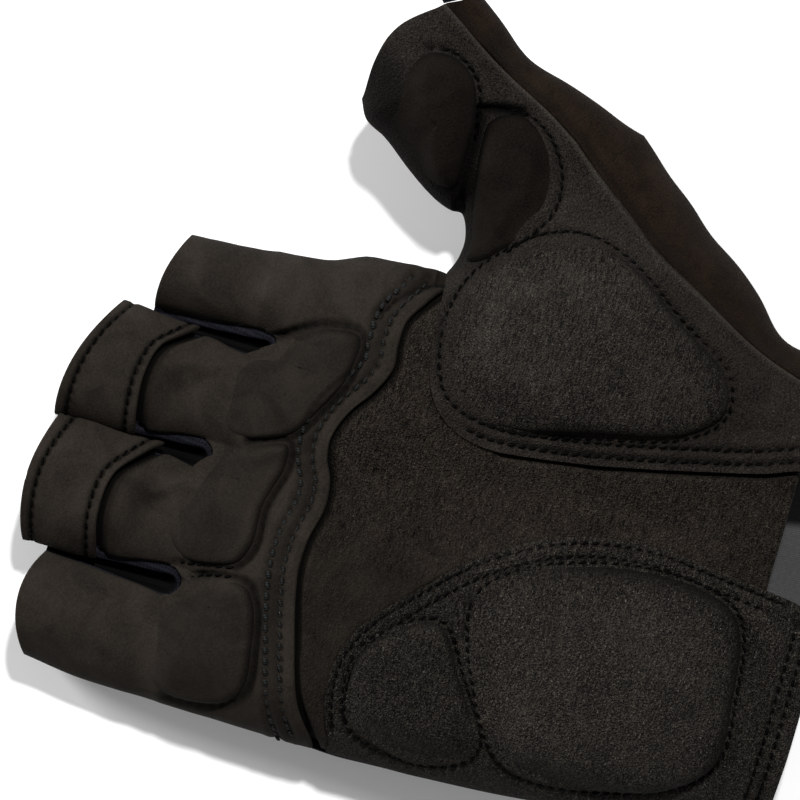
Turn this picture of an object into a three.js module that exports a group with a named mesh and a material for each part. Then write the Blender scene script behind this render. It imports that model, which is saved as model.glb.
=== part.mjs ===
// A right-hand short-finger cycling glove that lies on its back with the palm up.
// Thin cloth panels make a hollow hand: every panel follows one pair of height functions,
// the palm side and the back, that meet at a seam round the outline of the hand.
// X runs from the little finger to the thumb, Y from the cuff to the fingertips, Z up.
import * as THREE from 'three';

// Plan sizes, in millimetres
const PALM_LENGTH = 119; // cuff hem to the line of the finger crotches
const FINGER_LENGTH = 34; // that line to the hem of the longest stall
const PALM_WIDTH = 93; // little-finger side to index side, at the knuckles
const THUMB_REACH = 53; // index side of the palm to the far corner of the thumb hem
const STALL_GAP = 1.6; // between neighbouring finger stalls, at the crotch

// Heights and roundings, in millimetres
const GLOVE_DEPTH = 26; // back to palm at the middle of the hand
const THUMB_DEPTH = 23; // thickness of the thumb stall
const THUMB_LIFT = 11; // how far the thumb hem stands above the side seam of the palm
const SIDE_ROUND = 15; // width of the rounded side of the hand and the thumb
const THENAR_RISE = 6; // ball of the thumb
const HEEL_RISE = 2.5; // heel of the hand
const PALM_HOLLOW = 3.5; // hollow of the palm
const CREASE_DEPTH = 1.8; // crease across the thumb and dents below the pull tabs
const VALLEY_LENGTH = 15; // how far the valley between two fingers runs into the palm

// Cloth and clearances, in millimetres
const CLOTH = 1.2; // thickness of a panel
const GUSSET_CLOTH = 1.0; // thickness of the stretch cloth between the fingers
const LINING_CLOTH = 1.0; // thickness of the lining inside the back of the cuff
const SEAM_GAP = 0.3; // between panels that are sewn edge to edge
const LAP_GAP = 0.6; // between a panel and the panel that laps over it
const GUSSET_GAP = 0.55; // between a gusset and a stall
const PAD_GAP = 0.55; // below a pad or a tab
const PAD_RIM = 0.5; // height of a pad's edge
const KNUCKLE_PAD_RISE = 1.6; // middle of a pad above its edge
const THENAR_PAD_RISE = 2.6;
const SMALL_HEEL_PAD_RISE = 2.0;
const LARGE_HEEL_PAD_RISE = 2.8;
const THUMB_PAD_RISE = 2.0;
const WEB_PATCH_RISE = 1.2;
const LINING_LENGTH = 30; // cuff hem to the inner end of the lining
const BINDING_WIDTH = 2.6; // binding on the thumb hem
const TAB_LIFT = 1.3; // free edge of a pull tab above the finger

const GUSSET_ANGLE = THREE.MathUtils.degToRad(35); // gusset, above and below a stall's widest line

// Side of the little finger and of the index finger: across, as a share of the palm's width
const LITTLE_SIDE = [
  { along: -0.1, across: -0.345 },
  { along: 0, across: -0.37 },
  { along: 0.2, across: -0.443 },
  { along: 0.42, across: -0.485 },
  { along: 0.72, across: -0.5 },
  { along: 1.0, across: -0.496 },
  { along: 1.43, across: -0.494 },
  { along: 1.77, across: -0.478 },
  { along: 2.1, across: -0.46 },
];
const INDEX_SIDE = [
  { along: 0.732, across: 0.525 },
  { along: 0.842, across: 0.507 },
  { along: 0.93, across: 0.47 },
  { along: 1.16, across: 0.453 },
  { along: 1.5, across: 0.446 },
  { along: 2.1, across: 0.435 },
];
// Seam on the back of the hand between the back panel and the thumb's back panel
const BACK_SEAM = [
  { along: -0.1, across: 0.39 },
  { along: 0, across: 0.4 },
  { along: 0.2, across: 0.42 },
  { along: 0.45, across: 0.46 },
  { along: 0.65, across: 0.505 },
  { along: 0.732, across: 0.525 },
];

// Finger stalls: where the hem lies on the little-finger side, in the middle and on the index side
const FINGERS = [
  { name: 'little', lowHem: 1.76, midHem: 1.865, highHem: 1.79 },
  { name: 'ring', lowHem: 1.935, midHem: 2.0, highHem: 1.92 },
  { name: 'middle', lowHem: 1.96, midHem: 1.925, highHem: 1.755 },
  { name: 'index', lowHem: 1.585, midHem: 1.575, highHem: 1.5 },
];
// Slots between them: mouth is the gap at the hems as a share of the gap at the crotch
const SLOTS = [
  { name: 'ring_little', across: -0.247, root: 1.1, mouth: 0.4 },
  { name: 'middle_ring', across: 0.02, root: 1.13, mouth: 0.5 },
  { name: 'index_middle', across: 0.27, root: 0.985, mouth: 0.5 },
];

// Depth of the hand: side seam above the floor, and palm above the side seam
const DEPTHS = [
  { along: 0, seam: 0.4, crown: 0.4 },
  { along: 0.25, seam: 0.45, crown: 0.5 },
  { along: 0.6, seam: 0.47, crown: 0.49 },
  { along: 0.85, seam: 0.44, crown: 0.45 },
  { along: 1.1, seam: 0.37, crown: 0.37 },
  { along: 2.0, seam: 0.34, crown: 0.34 },
];

// Outline of the thumb, from the hem to the crotch and from the hem to the cuff
const THUMB_INNER = [
  { along: 0.938, across: 1.03 },
  { along: 0.922, across: 0.965 },
  { along: 0.885, across: 0.92 },
  { along: 0.833, across: 0.833 },
  { along: 0.79, across: 0.772 },
  { along: 0.755, across: 0.744 },
  { along: 0.735, across: 0.74 },
  { along: 0.719, across: 0.66 },
  { along: 0.722, across: 0.575 },
  { along: 0.732, across: 0.525 },
];
const THUMB_OUTER = [
  { along: 0.797, across: 1.497 },
  { along: 0.718, across: 1.362 },
  { along: 0.606, across: 1.267 },
  { along: 0.489, across: 1.193 },
];
const WRIST_OUTER = [
  { along: 0.489, across: 1.193 },
  { along: 0.369, across: 0.972 },
  { along: 0.242, across: 0.755 },
  { along: 0.17, across: 0.625 },
  { along: 0.1, across: 0.6 },
  { along: 0, across: 0.6 },
];
const THUMB_HEM = [
  { along: 0.938, across: 1.03 },
  { along: 0.934, across: 1.165 },
  { along: 0.912, across: 1.295 },
  { along: 0.85, across: 1.422 },
];
// Seam on the palm side between the thenar panel and the thumb's back panel
const THUMB_SEAM = [
  { along: 0.85, across: 1.422 },
  { along: 0.799, across: 1.347 },
  { along: 0.739, across: 1.267 },
  { along: 0.689, across: 1.205 },
  { along: 0.648, across: 1.16 },
  { along: 0.592, across: 1.089 },
];
const WRIST_SEAM = [
  { along: 0.592, across: 1.089 },
  { along: 0.516, across: 0.952 },
  { along: 0.431, across: 0.809 },
  { along: 0.331, across: 0.679 },
  { along: 0.234, across: 0.566 },
  { along: 0.142, across: 0.497 },
  { along: 0, across: 0.46 },
];
// Edge of the thenar panel where it laps over the palm, from the crotch to the cuff
const THENAR_EDGE = [
  { along: 0.732, across: 0.525 },
  { along: 0.728, across: 0.45 },
  { along: 0.725, across: 0.382 },
  { along: 0.716, across: 0.311 },
  { along: 0.697, across: 0.255 },
  { along: 0.66, across: 0.211 },
  { along: 0.605, across: 0.191 },
  { along: 0.507, across: 0.2 },
  { along: 0.381, across: 0.229 },
  { along: 0.256, across: 0.266 },
  { along: 0.163, across: 0.296 },
  { along: 0.104, across: 0.322 },
  { along: 0, across: 0.33 },
];
// Edge of the finger panel where it laps over the palm, from the little-finger side to the crotch
const KNUCKLE_EDGE = [
  { across: -0.55, along: 0.7 },
  { across: -0.5, along: 0.73 },
  { across: -0.411, along: 0.774 },
  { across: -0.294, along: 0.803 },
  { across: -0.165, along: 0.827 },
  { across: -0.09, along: 0.827 },
  { across: -0.018, along: 0.815 },
  { across: 0.041, along: 0.819 },
  { across: 0.082, along: 0.833 },
  { across: 0.126, along: 0.836 },
  { across: 0.185, along: 0.819 },
  { across: 0.238, along: 0.79 },
  { across: 0.292, along: 0.772 },
  { across: 0.343, along: 0.775 },
  { across: 0.393, along: 0.775 },
  { across: 0.437, along: 0.757 },
  { across: 0.483, along: 0.74 },
  { across: 0.55, along: 0.735 },
];
// Edge of the heel panel, from the little-finger side round to the vent in the cuff
const HEEL_EDGE = [
  { along: 0.705, across: -0.475 },
  { along: 0.722, across: -0.434 },
  { along: 0.735, across: -0.354 },
  { along: 0.731, across: -0.289 },
  { along: 0.708, across: -0.222 },
  { along: 0.661, across: -0.15 },
  { along: 0.597, across: -0.065 },
  { along: 0.529, across: 0.002 },
  { along: 0.442, across: 0.06 },
  { along: 0.365, across: 0.086 },
  { along: 0.284, across: 0.094 },
  { along: 0.199, across: 0.083 },
  { along: 0.1, across: 0.069 },
  { along: 0.04, across: 0.055 },
  { along: 0, across: 0.02 },
];
// Palm panel, cuff vent to knuckles, with the margins that lie under its neighbours
const PALM_ROWS = [
  { along: 0.105, low: 0.03, high: 0.36 },
  { along: 0.25, low: 0.045, high: 0.32 },
  { along: 0.4, low: 0.03, high: 0.275 },
  { along: 0.52, low: -0.05, high: 0.25 },
  { along: 0.6, low: -0.13, high: 0.24 },
  { along: 0.66, low: -0.22, high: 0.26 },
  { along: 0.69, low: -0.38, high: 0.3 },
  { along: 0.715, low: -0.55, high: 0.42 },
  { along: 0.74, low: -0.55, high: 0.485 },
  { along: 0.87, low: -0.55, high: 0.475 },
];

// Pads: the outline as a closed row of knots, and how far the middle stands proud
const PADS = [
  {
    name: 'knuckle_pad_index',
    rise: KNUCKLE_PAD_RISE,
    outline: [
      { along: 1.09, across: 0.215 }, { along: 0.965, across: 0.277 }, { along: 0.885, across: 0.335 },
      { along: 0.836, across: 0.335 }, { along: 0.838, across: 0.25 }, { along: 0.866, across: 0.175 },
      { along: 0.9, across: 0.11 }, { along: 0.962, across: 0.078 }, { along: 1.03, across: 0.09 },
      { along: 1.105, across: 0.15 },
    ],
  },
  {
    name: 'knuckle_pad_ring',
    rise: KNUCKLE_PAD_RISE,
    outline: [
      { along: 1.02, across: 0.03 }, { along: 0.958, across: 0.06 }, { along: 0.9, across: 0.085 },
      { along: 0.894, across: 0.045 }, { along: 0.91, across: -0.047 }, { along: 0.912, across: -0.133 },
      { along: 0.93, across: -0.175 }, { along: 1.03, across: -0.193 }, { along: 1.14, across: -0.155 },
      { along: 1.175, across: -0.055 }, { along: 1.11, across: 0 },
    ],
  },
  {
    name: 'knuckle_pad_little',
    rise: KNUCKLE_PAD_RISE,
    outline: [
      { along: 1.08, across: -0.29 }, { along: 0.977, across: -0.228 }, { along: 0.905, across: -0.213 },
      { along: 0.882, across: -0.245 }, { along: 0.865, across: -0.338 },
      { along: 0.862, across: -0.415 }, { along: 0.89, across: -0.455 },
      { along: 0.979, across: -0.468 }, { along: 1.045, across: -0.44 }, { along: 1.12, across: -0.345 },
    ],
  },
  {
    name: 'thenar_pad',
    rise: THENAR_PAD_RISE,
    outline: [
      { along: 0.708, across: 0.4 }, { along: 0.675, across: 0.275 }, { along: 0.59, across: 0.243 },
      { along: 0.43, across: 0.28 }, { along: 0.3, across: 0.327 }, { along: 0.25, across: 0.39 },
      { along: 0.265, across: 0.462 }, { along: 0.36, across: 0.572 }, { along: 0.455, across: 0.715 },
      { along: 0.53, across: 0.766 }, { along: 0.6, across: 0.728 }, { along: 0.69, across: 0.53 },
    ],
  },
  {
    name: 'heel_pad_small',
    rise: SMALL_HEEL_PAD_RISE,
    outline: [
      { along: 0.7, across: -0.285 }, { along: 0.655, across: -0.213 }, { along: 0.59, across: -0.178 },
      { along: 0.54, across: -0.265 }, { along: 0.482, across: -0.402 }, { along: 0.51, across: -0.445 },
      { along: 0.6, across: -0.46 }, { along: 0.685, across: -0.42 },
    ],
  },
  {
    name: 'heel_pad_large',
    rise: LARGE_HEEL_PAD_RISE,
    outline: [
      { along: 0.545, across: -0.115 }, { along: 0.495, across: -0.038 }, { along: 0.35, across: 0.03 },
      { along: 0.21, across: 0.037 }, { along: 0.14, across: -0.003 }, { along: 0.112, across: -0.168 },
      { along: 0.112, across: -0.3 }, { along: 0.18, across: -0.375 }, { along: 0.36, across: -0.43 },
      { along: 0.435, across: -0.412 }, { along: 0.487, across: -0.327 },
    ],
  },
  {
    name: 'thumb_tip_pad',
    rise: THUMB_PAD_RISE,
    outline: [
      { along: 0.888, across: 1.09 }, { along: 0.862, across: 1.225 }, { along: 0.818, across: 1.25 },
      { along: 0.775, across: 1.19 }, { along: 0.757, across: 1.07 }, { along: 0.754, across: 0.94 },
      { along: 0.758, across: 0.82 }, { along: 0.79, across: 0.812 }, { along: 0.825, across: 0.85 },
      { along: 0.874, across: 0.955 },
    ],
  },
  {
    name: 'thumb_web_patch',
    rise: WEB_PATCH_RISE,
    outline: [
      { along: 0.732, across: 1.07 }, { along: 0.69, across: 1.118 }, { along: 0.641, across: 1.07 },
      { along: 0.607, across: 0.96 }, { along: 0.602, across: 0.84 }, { along: 0.62, across: 0.755 },
      { along: 0.657, across: 0.655 }, { along: 0.688, across: 0.588 }, { along: 0.705, across: 0.58 },
      { along: 0.707, across: 0.66 }, { along: 0.722, across: 0.79 }, { along: 0.734, across: 0.95 },
    ],
  },
];

// Pull tabs: where the free edge lies, from the little-finger side of the stall to the other
const PULL_TABS = [
  {
    name: 'pull_tab_ring',
    finger: 1,
    edge: [
      { share: 0, along: 1.5 }, { share: 0.1, along: 1.52 }, { share: 0.36, along: 1.557 },
      { share: 0.67, along: 1.53 }, { share: 0.88, along: 1.39 }, { share: 1, along: 1.27 },
    ],
  },
  {
    name: 'pull_tab_middle',
    finger: 2,
    edge: [
      { share: 0, along: 1.485 }, { share: 0.25, along: 1.515 }, { share: 0.5, along: 1.525 },
      { share: 0.74, along: 1.48 }, { share: 0.88, along: 1.37 }, { share: 1, along: 1.265 },
    ],
  },
];

// Bumps and dents of the palm side: centre, half sizes along and across, turn in degrees
const RELIEF = [
  { height: THENAR_RISE, along: 0.47, across: 0.5, long: 0.2, wide: 0.24, turn: -32 },
  { height: HEEL_RISE, along: 0.33, across: -0.2, long: 0.22, wide: 0.2, turn: 0 },
  { height: -PALM_HOLLOW, along: 0.62, across: 0.08, long: 0.2, wide: 0.13, turn: 12 },
  { height: -CREASE_DEPTH, along: 0.747, across: 0.93, long: 0.032, wide: 0.14, turn: 0 },
  { height: -CREASE_DEPTH, along: 1.33, across: 0.13, long: 0.03, wide: 0.05, turn: 30 },
  { height: -CREASE_DEPTH, along: 1.3, across: -0.11, long: 0.03, wide: 0.05, turn: 30 },
];

const { lerp, clamp, smoothstep, degToRad } = THREE.MathUtils;

const SUEDE = { color: 0x2a2724, roughness: 0.9 };
const PADDED_SUEDE = { color: 0x2b2926, roughness: 0.88 };
const BROWN_SUEDE = { color: 0x2a231c, roughness: 0.95 };
const STRETCH_CLOTH = { color: 0x10111a, roughness: 0.6 };
const GREY_LINING = { color: 0x46464a, roughness: 0.7 };

// Shares to millimetres. Past the palm's edge a share is of the thumb's reach,
// and past the crotches it is of the finger length.
const acrossToX = (across) =>
  across <= 0.5 ? across * PALM_WIDTH : 0.5 * PALM_WIDTH + (across - 0.5) * THUMB_REACH;
const alongToY = (along) =>
  along <= 1 ? along * PALM_LENGTH : PALM_LENGTH + (along - 1) * FINGER_LENGTH;
const yToAlong = (y) => (y <= PALM_LENGTH ? y / PALM_LENGTH : 1 + (y - PALM_LENGTH) / FINGER_LENGTH);
const place = (row) => new THREE.Vector3(acrossToX(row.across), alongToY(row.along), 0);

// A smooth function through a table's rows: cubic pieces with the slope of their neighbours
function tableFunction(rows, input, output) {
  const xs = rows.map((row) => row[input]);
  const ys = rows.map((row) => row[output]);
  const last = xs.length - 1;
  const slope = (k) => {
    const before = Math.max(k - 1, 0);
    const after = Math.min(k + 1, last);
    return (ys[after] - ys[before]) / (xs[after] - xs[before]);
  };
  return (value) => {
    const x = clamp(value, xs[0], xs[last]);
    let k = 0;
    while (k < last - 1 && x > xs[k + 1]) k += 1;
    const span = xs[k + 1] - xs[k];
    const t = (x - xs[k]) / span;
    return (
      (1 + 2 * t) * (1 - t) ** 2 * ys[k] +
      t * (1 - t) ** 2 * span * slope(k) +
      t * t * (3 - 2 * t) * ys[k + 1] +
      t * t * (t - 1) * span * slope(k + 1)
    );
  };
}

const onAlong = (rows) => {
  const share = tableFunction(rows, 'along', 'across');
  return (y) => acrossToX(share(yToAlong(y)));
};
const littleSideX = onAlong(LITTLE_SIDE);
const indexSideX = onAlong(INDEX_SIDE);
const backSeamX = onAlong(BACK_SEAM);
const seamShare = tableFunction(DEPTHS, 'along', 'seam');
const crownShare = tableFunction(DEPTHS, 'along', 'crown');
const knuckleShare = tableFunction(KNUCKLE_EDGE, 'across', 'along');
const knuckleEdgeY = (x) => alongToY(knuckleShare(x / PALM_WIDTH));
const crotch = place(INDEX_SIDE[0]);

// A smooth plan curve through a table's rows, sampled evenly along its length
function planCurve(rows) {
  const curve = new THREE.CatmullRomCurve3(rows.map(place), false, 'centripetal');
  return (t) => curve.getPointAt(clamp(t, 0, 1));
}
const thumbInner = planCurve(THUMB_INNER);
const thumbOuter = planCurve(THUMB_OUTER);
const wristOuter = planCurve(WRIST_OUTER);
const thumbHem = planCurve(THUMB_HEM);
const thumbSeam = planCurve(THUMB_SEAM);
const wristSeam = planCurve(WRIST_SEAM);
const thenarEdge = planCurve(THENAR_EDGE);
const heelEdge = planCurve(HEEL_EDGE);

// The side edges as one list of short straight pieces, run on past the hems so that they stay open
const EDGE_STEPS = 40;
function edgeSegments() {
  const sampled = (curve) => Array.from({ length: EDGE_STEPS + 1 }, (_, k) => curve(k / EDGE_STEPS));
  const ofY = (x, from, to) => (t) => new THREE.Vector3(x(lerp(from, to, t)), lerp(from, to, t), 0);
  const tipY = alongToY(LITTLE_SIDE.at(-1).along);
  const runOn = (line, end) => {
    const [at, next] = end ? [line.at(-1), line.at(-3)] : [line[0], line[2]];
    const past = at.clone().add(at.clone().sub(next).setLength(SIDE_ROUND));
    return end ? [...line, past] : [past, ...line];
  };
  const lines = [
    sampled(ofY(littleSideX, alongToY(LITTLE_SIDE[0].along), tipY)),
    sampled(ofY(indexSideX, crotch.y, tipY)),
    runOn(sampled(thumbInner), false),
    runOn(sampled(thumbOuter), false),
    runOn(sampled(wristOuter), true),
  ];
  return lines.flatMap((line) => line.slice(1).map((point, k) => [line[k], point]));
}
const SEGMENTS = edgeSegments();

function edgeDistance(x, y) {
  let least = Infinity;
  for (const [a, b] of SEGMENTS) {
    const dx = b.x - a.x;
    const dy = b.y - a.y;
    const t = clamp(((x - a.x) * dx + (y - a.y) * dy) / (dx * dx + dy * dy), 0, 1);
    least = Math.min(least, (x - a.x - t * dx) ** 2 + (y - a.y - t * dy) ** 2);
  }
  return Math.sqrt(least);
}

// A quarter of an ellipse: 0 at the edge, 1 where the side's rounding ends
const rounded = (share) => Math.sqrt(1 - (1 - clamp(share, 0, 1)) ** 2);

// Sides of each finger stall, and of the strip of palm that runs down from it
const slotRootY = (slot) => alongToY(slot.root);
function slotGap(slot, y) {
  const mouthY = alongToY(2);
  return STALL_GAP * lerp(1, slot.mouth, clamp((y - slotRootY(slot)) / (mouthY - slotRootY(slot)), 0, 1));
}
function stallSides(finger, y, highSide) {
  const below = SLOTS[finger - 1];
  const above = SLOTS[finger];
  return {
    low: below ? acrossToX(below.across) + slotGap(below, y) / 2 : littleSideX(y),
    high: above ? acrossToX(above.across) - slotGap(above, y) / 2 : highSide(y),
  };
}
const fingerAt = (x) => SLOTS.filter((slot) => x > acrossToX(slot.across)).length;
const rootAt = (x) => {
  const finger = fingerAt(x);
  const near = [SLOTS[finger - 1], SLOTS[finger]].filter(Boolean);
  near.sort((a, b) => Math.abs(x - acrossToX(a.across)) - Math.abs(x - acrossToX(b.across)));
  return slotRootY(near[0]);
};

// How much of the thumb there is at a point: 0 on the hand, 1 at the thumb's hem
const THUMB_ROOT = { along: 0.56, across: 0.68 };
const THUMB_END = { along: 0.89, across: 1.27 };
const THUMB_MARGIN = 0.1; // the thumb takes over this share of its length before and after those
const THUMB_SIDE = { along: 0, across: 0.8 }; // and it has taken over this far across
function thumbShare(x, y) {
  const root = place(THUMB_ROOT);
  const axis = place(THUMB_END).sub(root);
  const reached = ((x - root.x) * axis.x + (y - root.y) * axis.y) / axis.lengthSq();
  const beside = smoothstep(x, 0.5 * PALM_WIDTH, place(THUMB_SIDE).x);
  return smoothstep(reached, -THUMB_MARGIN, 1 + THUMB_MARGIN) * beside;
}

function relief(x, y) {
  let sum = 0;
  for (const bump of RELIEF) {
    const centre = place(bump);
    const turn = degToRad(bump.turn);
    const dx = x - centre.x;
    const dy = y - centre.y;
    const u = (dx * Math.cos(turn) + dy * Math.sin(turn)) / (bump.wide * PALM_WIDTH);
    const v = (dy * Math.cos(turn) - dx * Math.sin(turn)) / (bump.long * PALM_LENGTH);
    sum += bump.height * Math.exp(-u * u - v * v);
  }
  return sum;
}

// Share of the full height at a point, 0 at the outline: across a stall it is a half ellipse,
// across the hand the sides alone are rounded, and the two run into each other past the crotch.
// Across the web between two stalls it stays as high as it is where the gusset is sewn on.
function heightShare(x, y) {
  const hand = rounded(edgeDistance(x, y) / SIDE_ROUND);
  const root = rootAt(x);
  const stall = smoothstep(y, root - VALLEY_LENGTH, root);
  if (stall === 0 || x > Math.max(indexSideX(y), crotch.x)) return hand;
  const { low, high } = stallSides(fingerAt(x), y, indexSideX);
  const aside = Math.abs(x - (low + high) / 2) / ((high - low) / 2);
  const held = y < root && edgeDistance(x, y) > STALL_GAP ? Math.cos(GUSSET_ANGLE) : 1;
  return lerp(hand, Math.sqrt(1 - Math.min(aside, held) ** 2), stall);
}

const sideSeamZ = (x, y) =>
  GLOVE_DEPTH * seamShare(yToAlong(y)) + THUMB_LIFT * thumbShare(x, y);
const crownZ = (x, y) =>
  lerp(GLOVE_DEPTH * crownShare(yToAlong(y)), THUMB_DEPTH / 2, thumbShare(x, y));
const FLATTENED = 1.12; // the back would reach this share below the floor, so it lies flat on it
const underZ = (x, y) =>
  Math.min(sideSeamZ(x, y) * FLATTENED, lerp(GLOVE_DEPTH, THUMB_DEPTH / 2, Math.sqrt(thumbShare(x, y))));

const palmZ = (x, y) => {
  const share = heightShare(x, y);
  return sideSeamZ(x, y) + SEAM_GAP / 2 + share * (crownZ(x, y) + relief(x, y));
};
const backZ = (x, y) =>
  Math.max(0, sideSeamZ(x, y) - SEAM_GAP / 2 - heightShare(x, y) * underZ(x, y));

// One point of a panel. side is 1 on the palm side, -1 on the back and 0 on the side seam itself;
// a rim point lies on the outline, where the cloth stands upright.
const SLOPE_STEP = 0.05;
function clothPoint(x, y, side, rim = false) {
  const height = side < 0 ? backZ : palmZ;
  const z = side === 0 || rim ? sideSeamZ(x, y) + (side * SEAM_GAP) / 2 : height(x, y);
  const dx = (height(x + SLOPE_STEP, y) - height(x - SLOPE_STEP, y)) / (2 * SLOPE_STEP);
  const dy = (height(x, y + SLOPE_STEP) - height(x, y - SLOPE_STEP)) / (2 * SLOPE_STEP);
  const normal = new THREE.Vector3(-dx, -dy, 1).normalize();
  if (side < 0) normal.negate();
  return { at: new THREE.Vector3(x, y, z), normal, rim: rim || side === 0 };
}

// Rim points face straight out: square to the outline, away from the cloth
function faceRims(grid) {
  grid.forEach((row, j) => {
    row.forEach((point, i) => {
      if (!point.rim) return;
      const [before, after] = [grid[j - 1]?.[i], grid[j + 1]?.[i]].map((next) => (next?.rim ? next : point));
      const run = after.at.clone().sub(before.at);
      const inside = row[i + 1] ?? row[i - 1];
      const out = new THREE.Vector3(run.y, -run.x, 0).normalize();
      if (out.dot(inside.at.clone().sub(point.at)) > 0) out.negate();
      point.normal.copy(out);
    });
  });
}

function bodyFrom(vertices, triangles) {
  const geometry = new THREE.BufferGeometry();
  const positions = vertices.flatMap((vertex) => vertex.toArray());
  geometry.setAttribute('position', new THREE.Float32BufferAttribute(positions, 3));
  let volume = 0;
  for (const [a, b, c] of triangles) {
    volume += vertices[a].dot(vertices[b].clone().cross(vertices[c]));
  }
  const index = volume > 0 ? triangles : triangles.map(([a, b, c]) => [a, c, b]);
  geometry.setIndex(index.flat());
  geometry.computeVertexNormals();
  return geometry;
}

// Closed cloth from a grid of points: the outer and inner faces and an edge round every open side.
// outer and inner are the distances from the glove's outer surface; isOpen leaves cells out.
function clothBody(grid, { outer = () => 0, inner = () => -CLOTH, isOpen = () => false }) {
  faceRims(grid);
  const vertices = [];
  const ids = grid.map((row, j) =>
    row.map((point, i) => {
      vertices.push(point.at.clone().addScaledVector(point.normal, outer(i, j)));
      vertices.push(point.at.clone().addScaledVector(point.normal, inner(i, j)));
      return vertices.length - 2;
    }),
  );
  const triangles = [];
  const quad = (a, b, c, d) => triangles.push([a, b, c], [a, c, d]);
  const filled = (i, j) =>
    j >= 0 && j < grid.length - 1 && i >= 0 && i < grid[0].length - 1 && !isOpen(i, j);
  const edge = (a, b) => quad(a + 1, b + 1, b, a);
  for (let j = 0; j < grid.length - 1; j += 1) {
    for (let i = 0; i < grid[0].length - 1; i += 1) {
      if (!filled(i, j)) continue;
      const [a, b, c, d] = [ids[j][i], ids[j][i + 1], ids[j + 1][i + 1], ids[j + 1][i]];
      quad(a, b, c, d);
      quad(a + 1, d + 1, c + 1, b + 1);
      if (!filled(i, j - 1)) edge(a, b);
      if (!filled(i + 1, j)) edge(b, c);
      if (!filled(i, j + 1)) edge(c, d);
      if (!filled(i - 1, j)) edge(d, a);
    }
  }
  const used = [...new Set(triangles.flat())];
  const renumber = new Map(used.map((id, k) => [id, k]));
  return bodyFrom(
    used.map((id) => vertices[id]),
    triangles.map((triangle) => triangle.map((id) => renumber.get(id))),
  );
}

const glove = new THREE.Group();
function addPiece(name, geometry, cloth) {
  const mesh = new THREE.Mesh(geometry, new THREE.MeshStandardMaterial({ ...cloth, metalness: 0 }));
  mesh.name = name;
  glove.add(mesh);
}

const steps = (count) => Array.from({ length: count + 1 }, (_, k) => k / count);

// The edge that a gusset is sewn to goes round the crotch of its slot in a half circle: the point
// at a turn from 0, on the stall of the lower finger, to 1, on the stall of the higher one
const TURNS = [0.25, 0.5, 0.75];
const gussetNormal = (into, angle) =>
  into.clone().multiplyScalar(-Math.cos(angle)).setZ(Math.sin(angle));
const stallHalf = (finger, y) => {
  const { low, high } = stallSides(finger, y, indexSideX);
  return (high - low) / 2;
};
function crotchEdge(slot, turn) {
  const root = slotRootY(SLOTS[slot]);
  const half = lerp(stallHalf(slot, root), stallHalf(slot + 1, root), turn);
  const radius = slotGap(SLOTS[slot], root) / 2 + half * (1 - Math.cos(GUSSET_ANGLE));
  const into = new THREE.Vector3(-Math.cos(turn * Math.PI), -Math.sin(turn * Math.PI), 0);
  const centre = new THREE.Vector3(acrossToX(SLOTS[slot].across), root, 0);
  return { half, into, edge: centre.addScaledVector(into, radius) };
}

// Columns that run up the hand: a fan of angles round each stall, from its low side to its high
// side, and a few across each web. A stall stops at its gussets, or at the outline of the hand.
const STALL_CELLS = 6;
const COLUMNS = FINGERS.flatMap((_, finger) => {
  const start = finger === 0 ? Math.PI : Math.PI - GUSSET_ANGLE;
  const end = finger === FINGERS.length - 1 ? 0 : GUSSET_ANGLE;
  const stall = steps(STALL_CELLS).map((t) => ({ finger, angle: lerp(start, end, t) }));
  const turns = finger < SLOTS.length ? TURNS.map((turn) => crotchEdge(finger, turn)) : [];
  return [...stall, ...turns.map(({ edge, into }) => ({ web: edge, into }))];
});
function columnX(column, y, highSide) {
  if (column.web) return column.web.x;
  const { low, high } = stallSides(column.finger, y, highSide);
  return (low + high) / 2 + ((high - low) / 2) * Math.cos(column.angle);
}
function hemY(column) {
  const { lowHem, midHem, highHem } = FINGERS[column.finger];
  const across = (1 + Math.cos(column.angle)) / 2;
  const bow = (4 * midHem - 2 * lowHem - 2 * highHem) * across * (1 - across);
  return alongToY(lerp(lowHem, highHem, across) + bow);
}
function crotchY(column) {
  if (column.web) return column.web.y;
  const roots = [SLOTS[column.finger - 1], SLOTS[column.finger]].map((slot) => slot && slotRootY(slot));
  return lerp(roots[0] ?? roots[1], roots[1] ?? roots[0], (1 + Math.cos(column.angle)) / 2);
}

// A panel with the four stalls' tongues on it, from startY up to the hems
function combPanel(startY, palmSteps, stallSteps, side, highSide) {
  const grid = [];
  const columns = COLUMNS.map((column) => {
    const rootY = crotchY(column);
    const firstY = startY(column);
    return [
      ...palmSteps.map((t) => lerp(firstY, rootY, t)),
      ...stallSteps.slice(1).map((t) => (column.web ? rootY : lerp(rootY, hemY(column), t))),
    ];
  });
  for (let j = 0; j < columns[0].length; j += 1) {
    grid.push(
      COLUMNS.map((column, i) => {
        const y = columns[i][j];
        const rim = i === 0 || (i === COLUMNS.length - 1 && y >= crotch.y - SEAM_GAP);
        return clothPoint(columnX(column, y, highSide), y, side, rim);
      }),
    );
  }
  const last = palmSteps.length - 1;
  COLUMNS.forEach(({ web, into }, i) => {
    if (web) grid[last][i].normal.copy(gussetNormal(into, side * GUSSET_ANGLE));
  });
  return { grid, isOpen: (i, j) => j >= last && Boolean(COLUMNS[i].web || COLUMNS[i + 1].web) };
}

// Finger panel: the palm side of the four stalls and the band that laps over the palm
{
  const passes = steps(5);
  const startY = (column) => passes.reduce((y) => knuckleEdgeY(columnX(column, y, indexSideX)), crotch.y);
  const { grid, isOpen } = combPanel(startY, steps(6), steps(6), 1, indexSideX);
  addPiece('finger_panel', clothBody(grid, { isOpen }), SUEDE);
}

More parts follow.
